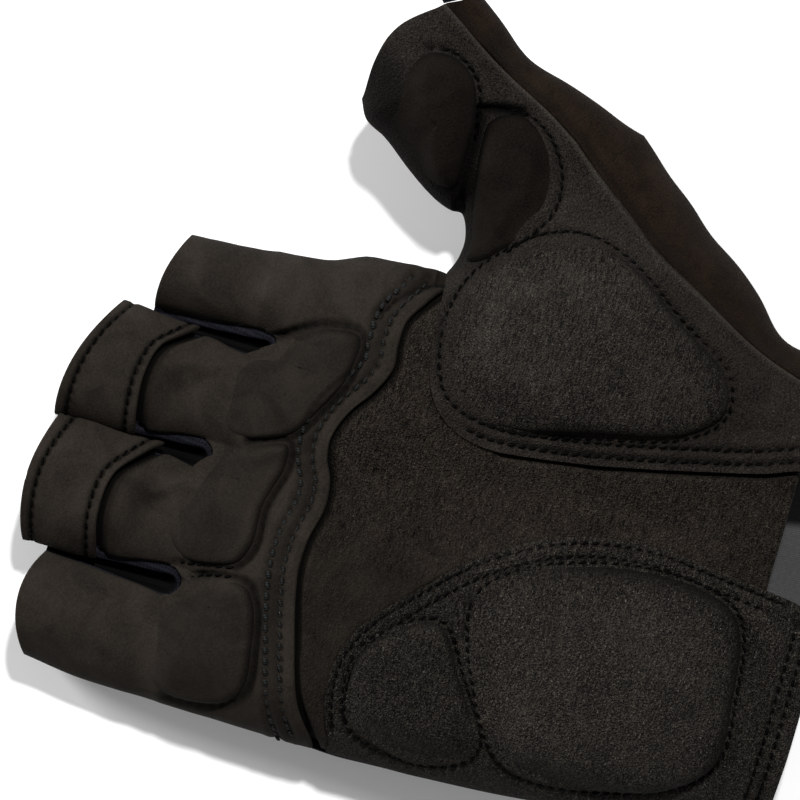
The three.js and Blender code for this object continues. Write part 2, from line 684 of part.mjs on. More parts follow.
// Back panel: the back of the hand and of the four stalls, flat where it lies
const handSideX = (y) => (y < crotch.y ? backSeamX(y) - SEAM_GAP / 2 : indexSideX(y));
{
  const palmSteps = steps(11);
  const { grid, isOpen } = combPanel(() => 0, palmSteps, steps(5), -1, handSideX);
  addPiece('back_panel', clothBody(grid, { isOpen }), STRETCH_CLOTH);
}

// Palm panel: one layer lower than its neighbours, which lap over its margins
{
  const first = PALM_ROWS[0].along;
  const last = PALM_ROWS.at(-1).along;
  const low = tableFunction(PALM_ROWS, 'along', 'low');
  const high = tableFunction(PALM_ROWS, 'along', 'high');
  const grid = steps(14).map((v) => {
    const along = lerp(first, last, v);
    const y = alongToY(along);
    const lowX = Math.max(acrossToX(low(along)), littleSideX(y));
    return steps(10).map((u) => {
      const x = lerp(lowX, acrossToX(high(along)), (1 - Math.cos(u * Math.PI)) / 2);
      return clothPoint(x, y, 1, u === 0 && lowX === littleSideX(y));
    });
  });
  const outer = () => -CLOTH - LAP_GAP;
  addPiece('palm_panel', clothBody(grid, { outer, inner: () => outer() - CLOTH }), SUEDE);
}

// Rows along the thumb and then along the ball of the thumb, down to the cuff
const THUMB_STEPS = 12;
const WRIST_STEPS = 11;
const thumbRows = [
  ...steps(THUMB_STEPS).map((t) => ({
    t,
    inner: thumbInner(t),
    seam: thumbSeam(t),
    outer: thumbOuter(t),
    under: thumbInner(t),
    free: true,
  })),
  ...steps(WRIST_STEPS).slice(1).map((t) => {
    const underY = lerp(crotch.y, 0, t);
    return {
      t: 1 + t,
      inner: thenarEdge(t),
      seam: wristSeam(t),
      outer: wristOuter(t),
      under: new THREE.Vector3(backSeamX(underY) + SEAM_GAP / 2, underY, 0),
      free: false,
    };
  }),
];
const HEM_FADE = 0.6; // the bow of the hem has straightened out this share of the thumb down

// Thenar panel: the palm side of the thumb and the ball of the thumb
{
  const cells = 8;
  const grid = thumbRows.map((row) => {
    const length = row.seam.distanceTo(row.inner);
    const inset = SEAM_GAP / 2 / length;
    return steps(cells).map((k) => {
      const share = (1 - Math.cos((k * Math.PI) / 2)) * (1 - inset);
      const straight = row.inner.clone().lerp(row.seam, share);
      const bow = thumbHem(share).sub(thumbRows[0].inner.clone().lerp(thumbRows[0].seam, share));
      straight.addScaledVector(bow, 1 - smoothstep(row.t, 0, HEM_FADE));
      return clothPoint(straight.x, straight.y, 1, k === 0 && row.free);
    });
  });
  addPiece('thenar_panel', clothBody(grid, {}), SUEDE);
}

// Back of the thumb: from the palm-side seam over the outline and under the thumb
const thumbBackRow = (row) => {
  const inset = SEAM_GAP / 2 / row.seam.distanceTo(row.outer);
  const above = steps(4).map((k) => {
    const at = row.seam.clone().lerp(row.outer, lerp(inset, 1, Math.sin((k * Math.PI) / 2)));
    return clothPoint(at.x, at.y, k === 1 ? 0 : 1);
  });
  const below = steps(6).slice(1).map((k) => {
    const at = row.outer.clone().lerp(row.under, 1 - Math.cos((k * Math.PI) / 2));
    return clothPoint(at.x, at.y, -1, k === 1 && row.free);
  });
  return [...above, ...below];
};
addPiece('thumb_back_panel', clothBody(thumbRows.map(thumbBackRow), {}), BROWN_SUEDE);

// Binding on the hem of the thumb's back
{
  const direction = thumbOuter(0).sub(thumbOuter(0.1)).normalize();
  const grid = [SEAM_GAP, BINDING_WIDTH].map((reach) => {
    const move = (point) => point.clone().addScaledVector(direction, reach);
    const row = thumbRows[0];
    return thumbBackRow({ ...row, seam: move(row.seam), outer: move(row.outer), under: move(row.under) });
  });
  addPiece('thumb_binding', clothBody(grid, {}), STRETCH_CLOTH);
}

// Heel panel: over the heel of the hand, from its stitched edge to the little-finger side
{
  const topY = alongToY(HEEL_EDGE[0].along) + SEAM_GAP;
  const grid = steps(14).map((t) => {
    const edge = heelEdge(t);
    const sideY = lerp(topY, 0, t);
    const side = new THREE.Vector3(littleSideX(sideY), sideY, 0);
    return steps(8).map((k) => {
      const at = side.clone().lerp(edge, 1 - Math.cos((k * Math.PI) / 2));
      return clothPoint(at.x, at.y, 1, k === 0);
    });
  });
  addPiece('heel_panel', clothBody(grid, {}), SUEDE);
}

// Finger gussets: a strip of stretch cloth down one stall, round the crotch and up the next
SLOTS.forEach((slot, low) => {
  const centre = acrossToX(slot.across);
  const root = slotRootY(slot);
  const [down, up] = [-1, 1].map((away) => {
    const finger = away < 0 ? low : low + 1;
    const end = hemY({ finger, angle: away < 0 ? GUSSET_ANGLE : Math.PI - GUSSET_ANGLE });
    return steps(4).map((t) => {
      const y = lerp(end, root, t);
      const at = new THREE.Vector3(centre + (away * slotGap(slot, y)) / 2, y, 0);
      return { at, into: new THREE.Vector3(away, 0, 0), half: stallHalf(finger, y) };
    });
  });
  const round = TURNS.map((turn) => {
    const { half, into } = crotchEdge(low, turn);
    const at = new THREE.Vector3(centre, root, 0).addScaledVector(into, slotGap(slot, root) / 2);
    return { at, into, half };
  });
  const grid = [...down, ...round, ...up.reverse()].map(({ at, into, half }) => {
    const edge = at.clone().addScaledVector(into, half * (1 - Math.cos(GUSSET_ANGLE)));
    const rise = heightShare(edge.x, edge.y) / Math.sin(GUSSET_ANGLE);
    const reach = GUSSET_ANGLE - GUSSET_GAP / half;
    return steps(4).map((t) => {
      const angle = lerp(-reach, reach, t);
      const depth = angle < 0 ? underZ(at.x, at.y) : crownZ(at.x, at.y);
      const point = at.clone().addScaledVector(into, half * (1 - Math.cos(angle)));
      point.z = sideSeamZ(at.x, at.y) + rise * depth * Math.sin(angle);
      return { at: point, normal: gussetNormal(into, angle), rim: false };
    });
  });
  addPiece(`gusset_${slot.name}`, clothBody(grid, { inner: () => -GUSSET_CLOTH }), STRETCH_CLOTH);
});

// Pads: a domed cushion of each outline on the panel below it
const PAD_SECTORS = 24;
const PAD_RINGS = [0.5, 0.8, 0.95, 1];
const dome = (ring) => Math.sqrt(1 - ring ** 4);
for (const pad of PADS) {
  const knots = pad.outline.map(place);
  const outline = new THREE.CatmullRomCurve3(knots, true, 'centripetal');
  const centre = new THREE.Vector3();
  for (const knot of knots) centre.addScaledVector(knot, 1 / knots.length);
  const vertices = [];
  const addPair = (x, y, ring) => {
    const { at, normal } = clothPoint(x, y, 1);
    vertices.push(at.clone().addScaledVector(normal, PAD_GAP + PAD_RIM + pad.rise * dome(ring)));
    vertices.push(at.clone().addScaledVector(normal, PAD_GAP));
  };
  addPair(centre.x, centre.y, 0);
  for (const ring of PAD_RINGS) {
    for (let k = 0; k < PAD_SECTORS; k += 1) {
      const at = centre.clone().lerp(outline.getPointAt(k / PAD_SECTORS), ring);
      addPair(at.x, at.y, ring);
    }
  }
  const id = (ring, k) => 2 * (1 + ring * PAD_SECTORS + (k % PAD_SECTORS));
  const triangles = [];
  for (let k = 0; k < PAD_SECTORS; k += 1) {
    const [a, b] = [id(0, k), id(0, k + 1)];
    triangles.push([0, a, b], [1, b + 1, a + 1]);
    for (let ring = 0; ring < PAD_RINGS.length - 1; ring += 1) {
      const [c, d, e, f] = [id(ring, k), id(ring, k + 1), id(ring + 1, k + 1), id(ring + 1, k)];
      triangles.push([c, f, e], [c, e, d], [c + 1, e + 1, f + 1], [c + 1, d + 1, e + 1]);
    }
    const [g, h] = [id(PAD_RINGS.length - 1, k), id(PAD_RINGS.length - 1, k + 1)];
    triangles.push([g, g + 1, h + 1], [g, h + 1, h]);
  }
  addPiece(pad.name, bodyFrom(vertices, triangles), PADDED_SUEDE);
}

// Pull tabs: a band across the end of a stall, sewn at the hem and free at the other edge
for (const tab of PULL_TABS) {
  const angles = steps(8).map((t) => lerp(Math.PI - GUSSET_ANGLE, GUSSET_ANGLE, t));
  const rows = steps(4);
  const freeEdge = tableFunction(tab.edge, 'share', 'along');
  const grid = rows.map((t) =>
    angles.map((angle) => {
      const freeY = alongToY(freeEdge((1 + Math.cos(angle)) / 2));
      const y = lerp(freeY, hemY({ finger: tab.finger, angle }), t);
      return clothPoint(columnX({ finger: tab.finger, angle }, y, indexSideX), y, 1);
    }));
  const lift = (i, j) => PAD_GAP + TAB_LIFT * (1 - rows[j]) ** 2 * Math.sin(angles[i]);
  addPiece(
    tab.name,
    clothBody(grid, { outer: (i, j) => lift(i, j) + CLOTH, inner: lift }),
    SUEDE,
  );
}

// Lining inside the back of the cuff, which shows through the vent in the palm side
{
  const grid = steps(5).map((v) => {
    const y = lerp(0, LINING_LENGTH, v);
    const low = littleSideX(y) + SIDE_ROUND;
    const high = backSeamX(y) - SIDE_ROUND / 3;
    return steps(7).map((u) => clothPoint(lerp(low, high, u), y, -1));
  });
  const outer = () => -CLOTH - SEAM_GAP;
  addPiece('cuff_lining', clothBody(grid, { outer, inner: () => outer() - LINING_CLOTH }), GREY_LINING);
}

// The frame: its origin is under the middle of the glove's box, on the floor
const box = new THREE.Box3().setFromObject(glove);
const middle = box.getCenter(new THREE.Vector3());
glove.position.set(-middle.x, -middle.y, -box.min.z);

export default glove;
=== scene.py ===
import math

import bpy
import numpy as np
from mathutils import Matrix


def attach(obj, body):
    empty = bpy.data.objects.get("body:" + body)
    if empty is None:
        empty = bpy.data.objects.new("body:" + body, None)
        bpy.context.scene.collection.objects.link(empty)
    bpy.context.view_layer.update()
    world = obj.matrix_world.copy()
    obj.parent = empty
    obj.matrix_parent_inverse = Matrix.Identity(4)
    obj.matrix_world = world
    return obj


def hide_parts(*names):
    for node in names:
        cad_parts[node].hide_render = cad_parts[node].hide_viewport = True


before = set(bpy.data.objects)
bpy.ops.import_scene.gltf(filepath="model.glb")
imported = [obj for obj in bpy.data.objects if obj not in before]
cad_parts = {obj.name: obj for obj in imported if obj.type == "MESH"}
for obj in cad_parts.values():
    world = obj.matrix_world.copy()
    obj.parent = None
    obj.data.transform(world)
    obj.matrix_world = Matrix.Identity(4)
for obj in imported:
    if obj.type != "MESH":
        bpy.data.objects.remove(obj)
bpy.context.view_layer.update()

# The photograph's view: straight down on the palm from far off, fingers to the left, thumb up.
# The camera is turned so that the cuff leaves the picture on the right, as it does there.
PHOTO_TURN = math.radians(16)
VIEW_MIDDLE = (-0.00523, 0.01249)
VIEW_WIDTH = 0.152
CAMERA_HEIGHT = 0.9
FOCUS_HEIGHT = 0.015
SENSOR = 36

camera = bpy.data.objects.new("camera", bpy.data.cameras.new("camera"))
camera.data.sensor_width = SENSOR
camera.data.lens = SENSOR * (CAMERA_HEIGHT - FOCUS_HEIGHT) / VIEW_WIDTH
camera.data.clip_start, camera.data.clip_end = 0.05, 10
camera.location = (*VIEW_MIDDLE, CAMERA_HEIGHT)
camera.rotation_euler = (0, 0, PHOTO_TURN - math.pi / 2)
bpy.context.scene.collection.objects.link(camera)
bpy.context.scene.camera = camera
picture_right = np.array([math.sin(PHOTO_TURN), -math.cos(PHOTO_TURN), 0])
picture_up = np.array([math.cos(PHOTO_TURN), math.sin(PHOTO_TURN), 0])


# White floor and soft light: one wide lamp from the picture's upper left shapes the cloth,
# a smaller one from the upper right throws the pale shadow to the lower left.
def add_node(tree, kind, inputs=(), **settings):
    """A shader node with its plain settings, and its inputs either linked or set."""
    made = tree.nodes.new(kind)
    for name, value in settings.items():
        setattr(made, name, value)
    for name, value in dict(inputs).items():
        if isinstance(value, bpy.types.NodeSocket):
            tree.links.new(value, made.inputs[name])
        else:
            made.inputs[name].default_value = value
    return made


def lamp(name, side, lean, distance, size, power):
    """An area lamp that looks at the glove's middle. side is the picture direction that it comes
    from, as shares right and up; lean is the angle from straight above, in degrees."""
    light = bpy.data.lights.new(name, "AREA")
    light.shape, light.size, light.energy = "DISK", size, power
    made = bpy.data.objects.new(name, light)
    level = side[0] * picture_right + side[1] * picture_up
    level = level / np.linalg.norm(level) * math.sin(math.radians(lean))
    made.location = distance * (level + np.array([0, 0, math.cos(math.radians(lean))]))
    made.rotation_euler = made.location.to_track_quat("Z", "Y").to_euler()
    bpy.context.scene.collection.objects.link(made)


lamp("form_lamp", side=(-0.85, 0.5), lean=66, distance=1.1, size=0.3, power=10.0)
lamp("shadow_lamp", side=(0.25, 1.0), lean=27, distance=1.3, size=0.09, power=17.2)

world = bpy.data.worlds.new("studio")
world.use_nodes = True
world.node_tree.nodes["Background"].inputs["Color"].default_value = (1, 1, 1, 1)
world.node_tree.nodes["Background"].inputs["Strength"].default_value = 0.22
bpy.context.scene.world = world
bpy.context.scene.view_settings.view_transform = "Standard"

FLOOR_HALF = 1.5
floor_mesh = bpy.data.meshes.new("floor")
floor_mesh.from_pydata(
    [(x * FLOOR_HALF, y * FLOOR_HALF, 0) for x, y in ((-1, -1), (1, -1), (1, 1), (-1, 1))],
    [], [(0, 1, 2, 3)])
floor = bpy.data.objects.new("floor", floor_mesh)
bpy.context.scene.collection.objects.link(floor)
paper = bpy.data.materials.new("white_paper")
paper.use_nodes = True
paper_shader = paper.node_tree.nodes["Principled BSDF"]
paper_shader.inputs["Base Color"].default_value = (0.85, 0.85, 0.85, 1)
paper_shader.inputs["Roughness"].default_value = 0.9
paper_shader.inputs["Specular IOR Level"].default_value = 0.1
paper_shader.inputs["Emission Color"].default_value = (1, 1, 1, 1)
paper_shader.inputs["Emission Strength"].default_value = 0.12
floor_mesh.materials.append(paper)


# Back of the hand and of the four stalls: one piece of black stretch knit that lies flat on the
# floor where the glove rests, and that is sewn to the suede of the palm round the outline.
PALM_LENGTH, FINGER_LENGTH = 0.119, 0.034
PALM_WIDTH, THUMB_REACH = 0.093, 0.053
PLAN_ORIGIN = np.array([-0.027227, -0.076512, 0.0])
STALL_GAP, SEAM_GAP = 0.0016, 0.0003
GLOVE_DEPTH, THUMB_DEPTH, THUMB_LIFT = 0.026, 0.023, 0.011
SIDE_ROUND, VALLEY_LENGTH = 0.015, 0.015
CLOTH = 0.0012
GUSSET_ANGLE = math.radians(35)

LITTLE_SIDE = [(-0.1, -0.345), (0, -0.37), (0.2, -0.443), (0.42, -0.485), (0.72, -0.5),
               (1.0, -0.496), (1.43, -0.494), (1.77, -0.478), (2.1, -0.46)]
INDEX_SIDE = [(0.732, 0.525), (0.842, 0.507), (0.93, 0.47), (1.16, 0.453), (1.5, 0.446),
              (2.1, 0.435)]
BACK_SEAM = [(-0.1, 0.39), (0, 0.4), (0.2, 0.42), (0.45, 0.46), (0.65, 0.505), (0.732, 0.525)]
THUMB_INNER = [(0.938, 1.03), (0.922, 0.965), (0.885, 0.92), (0.833, 0.833), (0.79, 0.772),
               (0.755, 0.744), (0.735, 0.74), (0.719, 0.66), (0.722, 0.575), (0.732, 0.525)]
THUMB_OUTER = [(0.797, 1.497), (0.718, 1.362), (0.606, 1.267), (0.489, 1.193)]
WRIST_OUTER = [(0.489, 1.193), (0.369, 0.972), (0.242, 0.755), (0.17, 0.625), (0.1, 0.6), (0, 0.6)]
SEAM_SHARE = [(0, 0.4), (0.25, 0.45), (0.6, 0.47), (0.85, 0.44), (1.1, 0.37), (2.0, 0.34)]
CROWN_SHARE = [(0, 0.4), (0.25, 0.5), (0.6, 0.49), (0.85, 0.45), (1.1, 0.37), (2.0, 0.34)]
# Each finger's hem on the little-finger side, in the middle and on the index side
HEMS = [(1.76, 1.865, 1.79), (1.935, 2.0, 1.92), (1.96, 1.925, 1.755), (1.585, 1.575, 1.5)]
# Each slot's place across, its root along, and its mouth as a share of the gap
SLOTS = [(-0.247, 1.1, 0.4), (0.02, 1.13, 0.5), (0.27, 0.985, 0.5)]


def across_to_x(across):
    """Share of the palm's width, or past the palm's edge of the thumb's reach, to metres."""
    across = np.asarray(across, float)
    past = 0.5 * PALM_WIDTH + (across - 0.5) * THUMB_REACH
    return np.where(across <= 0.5, across * PALM_WIDTH, past)


def along_to_y(along):
    """Share of the palm's length, or past the crotches of the finger length, to metres."""
    along = np.asarray(along, float)
    return np.where(along <= 1, along * PALM_LENGTH, PALM_LENGTH + (along - 1) * FINGER_LENGTH)


def y_to_along(y):
    """The other way round."""
    return np.where(y <= PALM_LENGTH, y / PALM_LENGTH, 1 + (y - PALM_LENGTH) / FINGER_LENGTH)


def plan(rows):
    """Rows of along and across as plan points."""
    rows = np.array(rows, float)
    return np.column_stack([across_to_x(rows[:, 1]), along_to_y(rows[:, 0])])


def smooth_table(rows):
    """A function through rows of input and output: cubic pieces, and the slope at a row is that
    of the straight line between its two neighbours."""
    xs, ys = np.array(rows, float).T
    slope = np.gradient(ys, xs)
    slope[1:-1] = (ys[2:] - ys[:-2]) / (xs[2:] - xs[:-2])

    def value(at):
        at = np.clip(at, xs[0], xs[-1])
        k = np.clip(np.searchsorted(xs, at, side="left") - 1, 0, len(xs) - 2)
        span = xs[k + 1] - xs[k]
        t = (at - xs[k]) / span
        return ((1 + 2 * t) * (1 - t) ** 2 * ys[k] + t * (1 - t) ** 2 * span * slope[k]
                + t * t * (3 - 2 * t) * ys[k + 1] + t * t * (t - 1) * span * slope[k + 1])
    return value


def resample(line, count):
    """The same line with evenly spaced points."""
    run = np.concatenate([[0], np.cumsum(np.linalg.norm(np.diff(line, axis=0), axis=1))])
    at = np.linspace(0, run[-1], count)
    return np.column_stack([np.interp(at, run, column) for column in line.T])


def smooth_line(knots, closed=False, count=241):
    """Evenly spaced plan points on a smooth line through the knots: a cubic for each span, with
    end slopes weighed by the square roots of the distances to the neighbours."""
    knots = np.asarray(knots, float)
    if closed:
        p = np.concatenate([knots[-1:], knots, knots[:2]])
    else:
        p = np.concatenate([2 * knots[:1] - knots[1:2], knots, 2 * knots[-1:] - knots[-2:-1]])
    p0, p1, p2, p3 = p[:-3], p[1:-2], p[2:-1], p[3:]
    d0, d1, d2 = (np.sqrt(np.linalg.norm(b - a, axis=1, keepdims=True))
                  for a, b in ((p0, p1), (p1, p2), (p2, p3)))
    leave = ((p1 - p0) / d0 - (p2 - p0) / (d0 + d1) + (p2 - p1) / d1) * d1
    meet = ((p2 - p1) / d1 - (p3 - p1) / (d1 + d2) + (p3 - p2) / d2) * d1
    t = np.linspace(0, 1, 48, endpoint=False)[None, :, None]
    spans = ((2 * t ** 3 - 3 * t ** 2 + 1) * p1[:, None] + (t ** 3 - 2 * t ** 2 + t) * leave[:, None]
             + (3 * t ** 2 - 2 * t ** 3) * p2[:, None] + (t ** 3 - t ** 2) * meet[:, None])
    return resample(np.concatenate([spans.reshape(-1, 2), p2[-1:]]), count)


def on_line(line, share):
    """Points at shares of an evenly spaced line's length."""
    at = np.clip(share, 0, 1) * (len(line) - 1)
    return np.stack([np.interp(at, np.arange(len(line)), column) for column in line.T], axis=-1)


def smoothstep(value, low, high):
    """0 below low, 1 above high, and a smooth rise between."""
    t = np.clip((value - low) / (high - low), 0, 1)
    return t * t * (3 - 2 * t)


little_share, index_share = smooth_table(LITTLE_SIDE), smooth_table(INDEX_SIDE)
back_seam_share = smooth_table(BACK_SEAM)
seam_share, crown_share = smooth_table(SEAM_SHARE), smooth_table(CROWN_SHARE)
little_x = lambda y: across_to_x(little_share(y_to_along(y)))
index_x = lambda y: across_to_x(index_share(y_to_along(y)))
back_seam_x = lambda y: across_to_x(back_seam_share(y_to_along(y)))
crotch = plan(INDEX_SIDE)[0]
thumb_inner = smooth_line(plan(THUMB_INNER))
thumb_outer = smooth_line(plan(THUMB_OUTER))
wrist_outer = smooth_line(plan(WRIST_OUTER))


def run_on(line, at_end):
    """The line with one straight step on, so that a hem doesn't count as an outline."""
    at, back = (line[-1], line[-3]) if at_end else (line[0], line[2])
    past = at + (at - back) / np.linalg.norm(at - back) * SIDE_ROUND
    return np.concatenate([line, [past]] if at_end else [[past], line])


tip_y = along_to_y(LITTLE_SIDE[-1][0])
side_y = np.linspace(along_to_y(LITTLE_SIDE[0][0]), tip_y, 60)
index_y = np.linspace(crotch[1], tip_y, 40)
OUTLINES = [np.column_stack([little_x(side_y), side_y]),
            np.column_stack([index_x(index_y), index_y]),
            run_on(resample(thumb_inner, 61), False),
            run_on(resample(thumb_outer, 41), False),
            run_on(resample(wrist_outer, 61), True)]


def nearest(x, y, lines):
    """Distance from plan points to the nearest of some lines, and the length run along that line
    to the nearest place. Every point is set against every straight piece, a block at a time."""
    start_x, start_y = np.concatenate([line[:-1] for line in lines]).T
    step_x, step_y = np.concatenate([np.diff(line, axis=0) for line in lines]).T
    length = np.hypot(step_x, step_y)
    before = np.cumsum(length) - length
    firsts = np.cumsum([0] + [len(line) - 1 for line in lines])
    before -= np.repeat(before[firsts[:-1]], np.diff(firsts))
    flat_x, flat_y = np.ravel(x), np.ravel(y)
    far, run = np.zeros(len(flat_x)), np.zeros(len(flat_x))
    for block in np.array_split(np.arange(len(flat_x)), max(1, len(flat_x) // 3000)):
        away_x, away_y = flat_x[block, None] - start_x, flat_y[block, None] - start_y
        t = np.clip((away_x * step_x + away_y * step_y) / length ** 2, 0, 1)
        gap = (away_x - t * step_x) ** 2 + (away_y - t * step_y) ** 2
        best = gap.argmin(1)
        pick = np.arange(len(block)), best
        far[block] = np.sqrt(gap[pick])
        run[block] = before[best] + t[pick] * length[best]
    return far.reshape(np.shape(x)), run.reshape(np.shape(x))


def away(points, lines):
    """Distance in plan from points to the nearest of some lines."""
    return nearest(points[..., 0], points[..., 1], lines)[0]


def bell(value, width, middle=0.0):
    """A bell curve: 1 at the middle, and about a third a width away from it."""
    return np.exp(-((value - middle) / width) ** 2)


def rounded(share):
    """A quarter of an ellipse: 0 at the edge, 1 from a share of 1 on."""
    return np.sqrt(1 - (1 - np.clip(share, 0, 1)) ** 2)


def slot_gap(slot, y):
    """Width of a slot, which narrows from its root to the hems."""
    across, root, mouth = SLOTS[slot]
    t = np.clip((y - along_to_y(root)) / (along_to_y(2) - along_to_y(root)), 0, 1)
    return STALL_GAP * (1 + (mouth - 1) * t)


def stall_sides(finger, y, high_side=index_x):
    """The two sides of a finger stall: its slots, or the outline of the hand."""
    low = across_to_x(SLOTS[finger - 1][0]) + slot_gap(finger - 1, y) / 2 if finger else little_x(y)
    high = across_to_x(SLOTS[finger][0]) - slot_gap(finger, y) / 2 if finger < 3 else high_side(y)
    return low, high


def thumb_part(x, y):
    """0 on the hand and 1 at the thumb's hem, with a smooth rise between."""
    root, end = plan([(0.56, 0.68), (0.89, 1.27)])
    axis = end - root
    reached = ((x - root[0]) * axis[0] + (y - root[1]) * axis[1]) / (axis @ axis)
    return smoothstep(reached, -0.1, 1.1) * smoothstep(x, 0.5 * PALM_WIDTH, across_to_x(0.8))


def height_share(x, y):
    """Share of the full height. Across a stall it is a half ellipse, across the hand only the
    sides are rounded, and the two run into each other past the crotches."""
    edge = nearest(x, y, OUTLINES)[0]
    hand = rounded(edge / SIDE_ROUND)
    slot_x = across_to_x(np.array([slot[0] for slot in SLOTS]))
    roots = along_to_y(np.array([slot[1] for slot in SLOTS]))
    root = roots[np.abs(x[..., None] - slot_x).argmin(-1)]
    stall = smoothstep(y, root - VALLEY_LENGTH, root)
    stall = np.where(x > np.maximum(index_x(y), crotch[0]), 0, stall)
    finger = (x[..., None] > slot_x).sum(-1)
    sides = np.array([stall_sides(k, y) for k in range(4)])
    low, high = np.take_along_axis(sides, finger[None, None], 0)[0]
    aside = np.abs(x - (low + high) / 2) / ((high - low) / 2)
    held = np.where((y < root) & (edge > STALL_GAP), math.cos(GUSSET_ANGLE), 1)
    across = np.sqrt(1 - np.minimum(aside, held) ** 2)
    return hand + (across - hand) * stall


# Large swellings and dents: height, along, across, half size along and across, turn in degrees
RELIEF = [(0.006, 0.47, 0.5, 0.2, 0.24, -32), (0.0025, 0.33, -0.2, 0.22, 0.2, 0),
          (-0.0035, 0.62, 0.08, 0.2, 0.13, 12), (-0.0018, 0.747, 0.93, 0.032, 0.14, 0),
          (-0.0018, 1.33, 0.13, 0.03, 0.05, 30), (-0.0018, 1.3, -0.11, 0.03, 0.05, 30)]


def relief(x, y, bumps):
    """Sum of soft bumps, each a bell curve with its own length, width and turn."""
    total = np.zeros(np.shape(x))
    for height, along, across, long, wide, turn in bumps:
        centre, angle = plan([(along, across)])[0], math.radians(turn)
        dx, dy = x - centre[0], y - centre[1]
        u = (dx * math.cos(angle) + dy * math.sin(angle)) / (wide * PALM_WIDTH)
        v = (dy * math.cos(angle) - dx * math.sin(angle)) / (long * PALM_LENGTH)
        total = total + height * np.exp(-u * u - v * v)
    return total


def seam_z(x, y):
    """Height of the side seam over the floor."""
    return GLOVE_DEPTH * seam_share(y_to_along(y)) + THUMB_LIFT * thumb_part(x, y)


def crown_z(x, y):
    """Height of the palm over the side seam."""
    crown = GLOVE_DEPTH * crown_share(y_to_along(y))
    return crown + (THUMB_DEPTH / 2 - crown) * thumb_part(x, y)


BELOW_FLOOR = 1.12


def under_z(x, y):
    """Depth of the back below the side seam. It would reach a little below the floor, so that
    the back lies flat."""
    free = GLOVE_DEPTH + (THUMB_DEPTH / 2 - GLOVE_DEPTH) * np.sqrt(thumb_part(x, y))
    return np.minimum(seam_z(x, y) * BELOW_FLOOR, free)


def palm_z(x, y):
    """Height of the palm side over the floor."""
    return seam_z(x, y) + SEAM_GAP / 2 + height_share(x, y) * (crown_z(x, y) + relief(x, y, RELIEF))


def back_z(x, y):
    """Height of the back over the floor."""
    return np.maximum(0, seam_z(x, y) - SEAM_GAP / 2 - height_share(x, y) * under_z(x, y))


SLOPE_STEP = 0.000001


def surface(x, y, side=1):
    """Points of the glove's outer surface and its unit normals, from slopes over a short step."""
    height = palm_z if side > 0 else back_z
    level = height(x, y)
    slope_x = (height(x + SLOPE_STEP, y) - level) / SLOPE_STEP
    slope_y = (height(x, y + SLOPE_STEP) - level) / SLOPE_STEP
    normal = np.stack([-slope_x, -slope_y, np.ones(np.shape(x))], axis=-1) * side
    normal /= np.linalg.norm(normal, axis=-1, keepdims=True)
    return np.stack([x, y, level], axis=-1), normal


RIM_COLUMNS = 6


def hold_rim(points, normals, column, rows=slice(None), side=1):
    """A column of the grid that is the outline itself: it lies at the side seam, and faces
    straight out, square to the outline. The next few columns turn evenly to the surface's own
    normals."""
    line = points[rows, column]
    line[:, 2] = seam_z(line[:, 0], line[:, 1]) + side * SEAM_GAP / 2
    run = np.gradient(line, axis=0)
    way = 1 if column == 0 else -1
    inside = points[rows, column + way * RIM_COLUMNS] - line
    out = np.column_stack([run[:, 1], -run[:, 0], np.zeros(len(run))])
    out /= np.linalg.norm(out, axis=1, keepdims=True)
    out *= -np.sign((out[:, :2] * inside[:, :2]).sum(1) + 1e-12)[:, None]
    points[rows, column], normals[rows, column] = line, out
    far = normals[rows, column + way * RIM_COLUMNS]
    for k in range(1, RIM_COLUMNS):
        turned = out + (far - out) * k / RIM_COLUMNS
        normals[rows, column + way * k] = turned / np.linalg.norm(turned, axis=1, keepdims=True)


WAVE_COUNT = 14


def waves(x, y, size, height, seed):
    """Gentle unevenness of worn cloth: the mean of many sine waves in seeded random directions,
    with lengths from two thirds to twice a size."""
    random = np.random.default_rng(seed)
    total = np.zeros(np.shape(x))
    turns, lengths, starts = (random.uniform(low, high, WAVE_COUNT) for low, high in (
        (0, math.pi), (0.66, 2), (0, 2 * math.pi)))
    for turn, length, start in zip(turns, lengths, starts):
        phase = (x * math.cos(turn) + y * math.sin(turn)) * 2 * math.pi / (size * length)
        total = total + np.sin(phase + start)
    return height * total / math.sqrt(WAVE_COUNT)


WORN_RISE = 0.0003


def off_floor(points):
    """0 where the cloth rests on the floor, and 1 from a few millimetres up."""
    return smoothstep(points[..., 2], 0.001, 0.006)


def over_side_seam(points):
    """0 at the side seam, and 1 from 4 mm above it."""
    return smoothstep(points[..., 2] - seam_z(points[..., 0], points[..., 1]), 0, 0.004)


def worn(points, size, height, seed):
    """The waves of worn cloth on the palm side, which rise less than they sink."""
    return np.minimum(waves(points[..., 0], points[..., 1], size, height, seed), WORN_RISE)


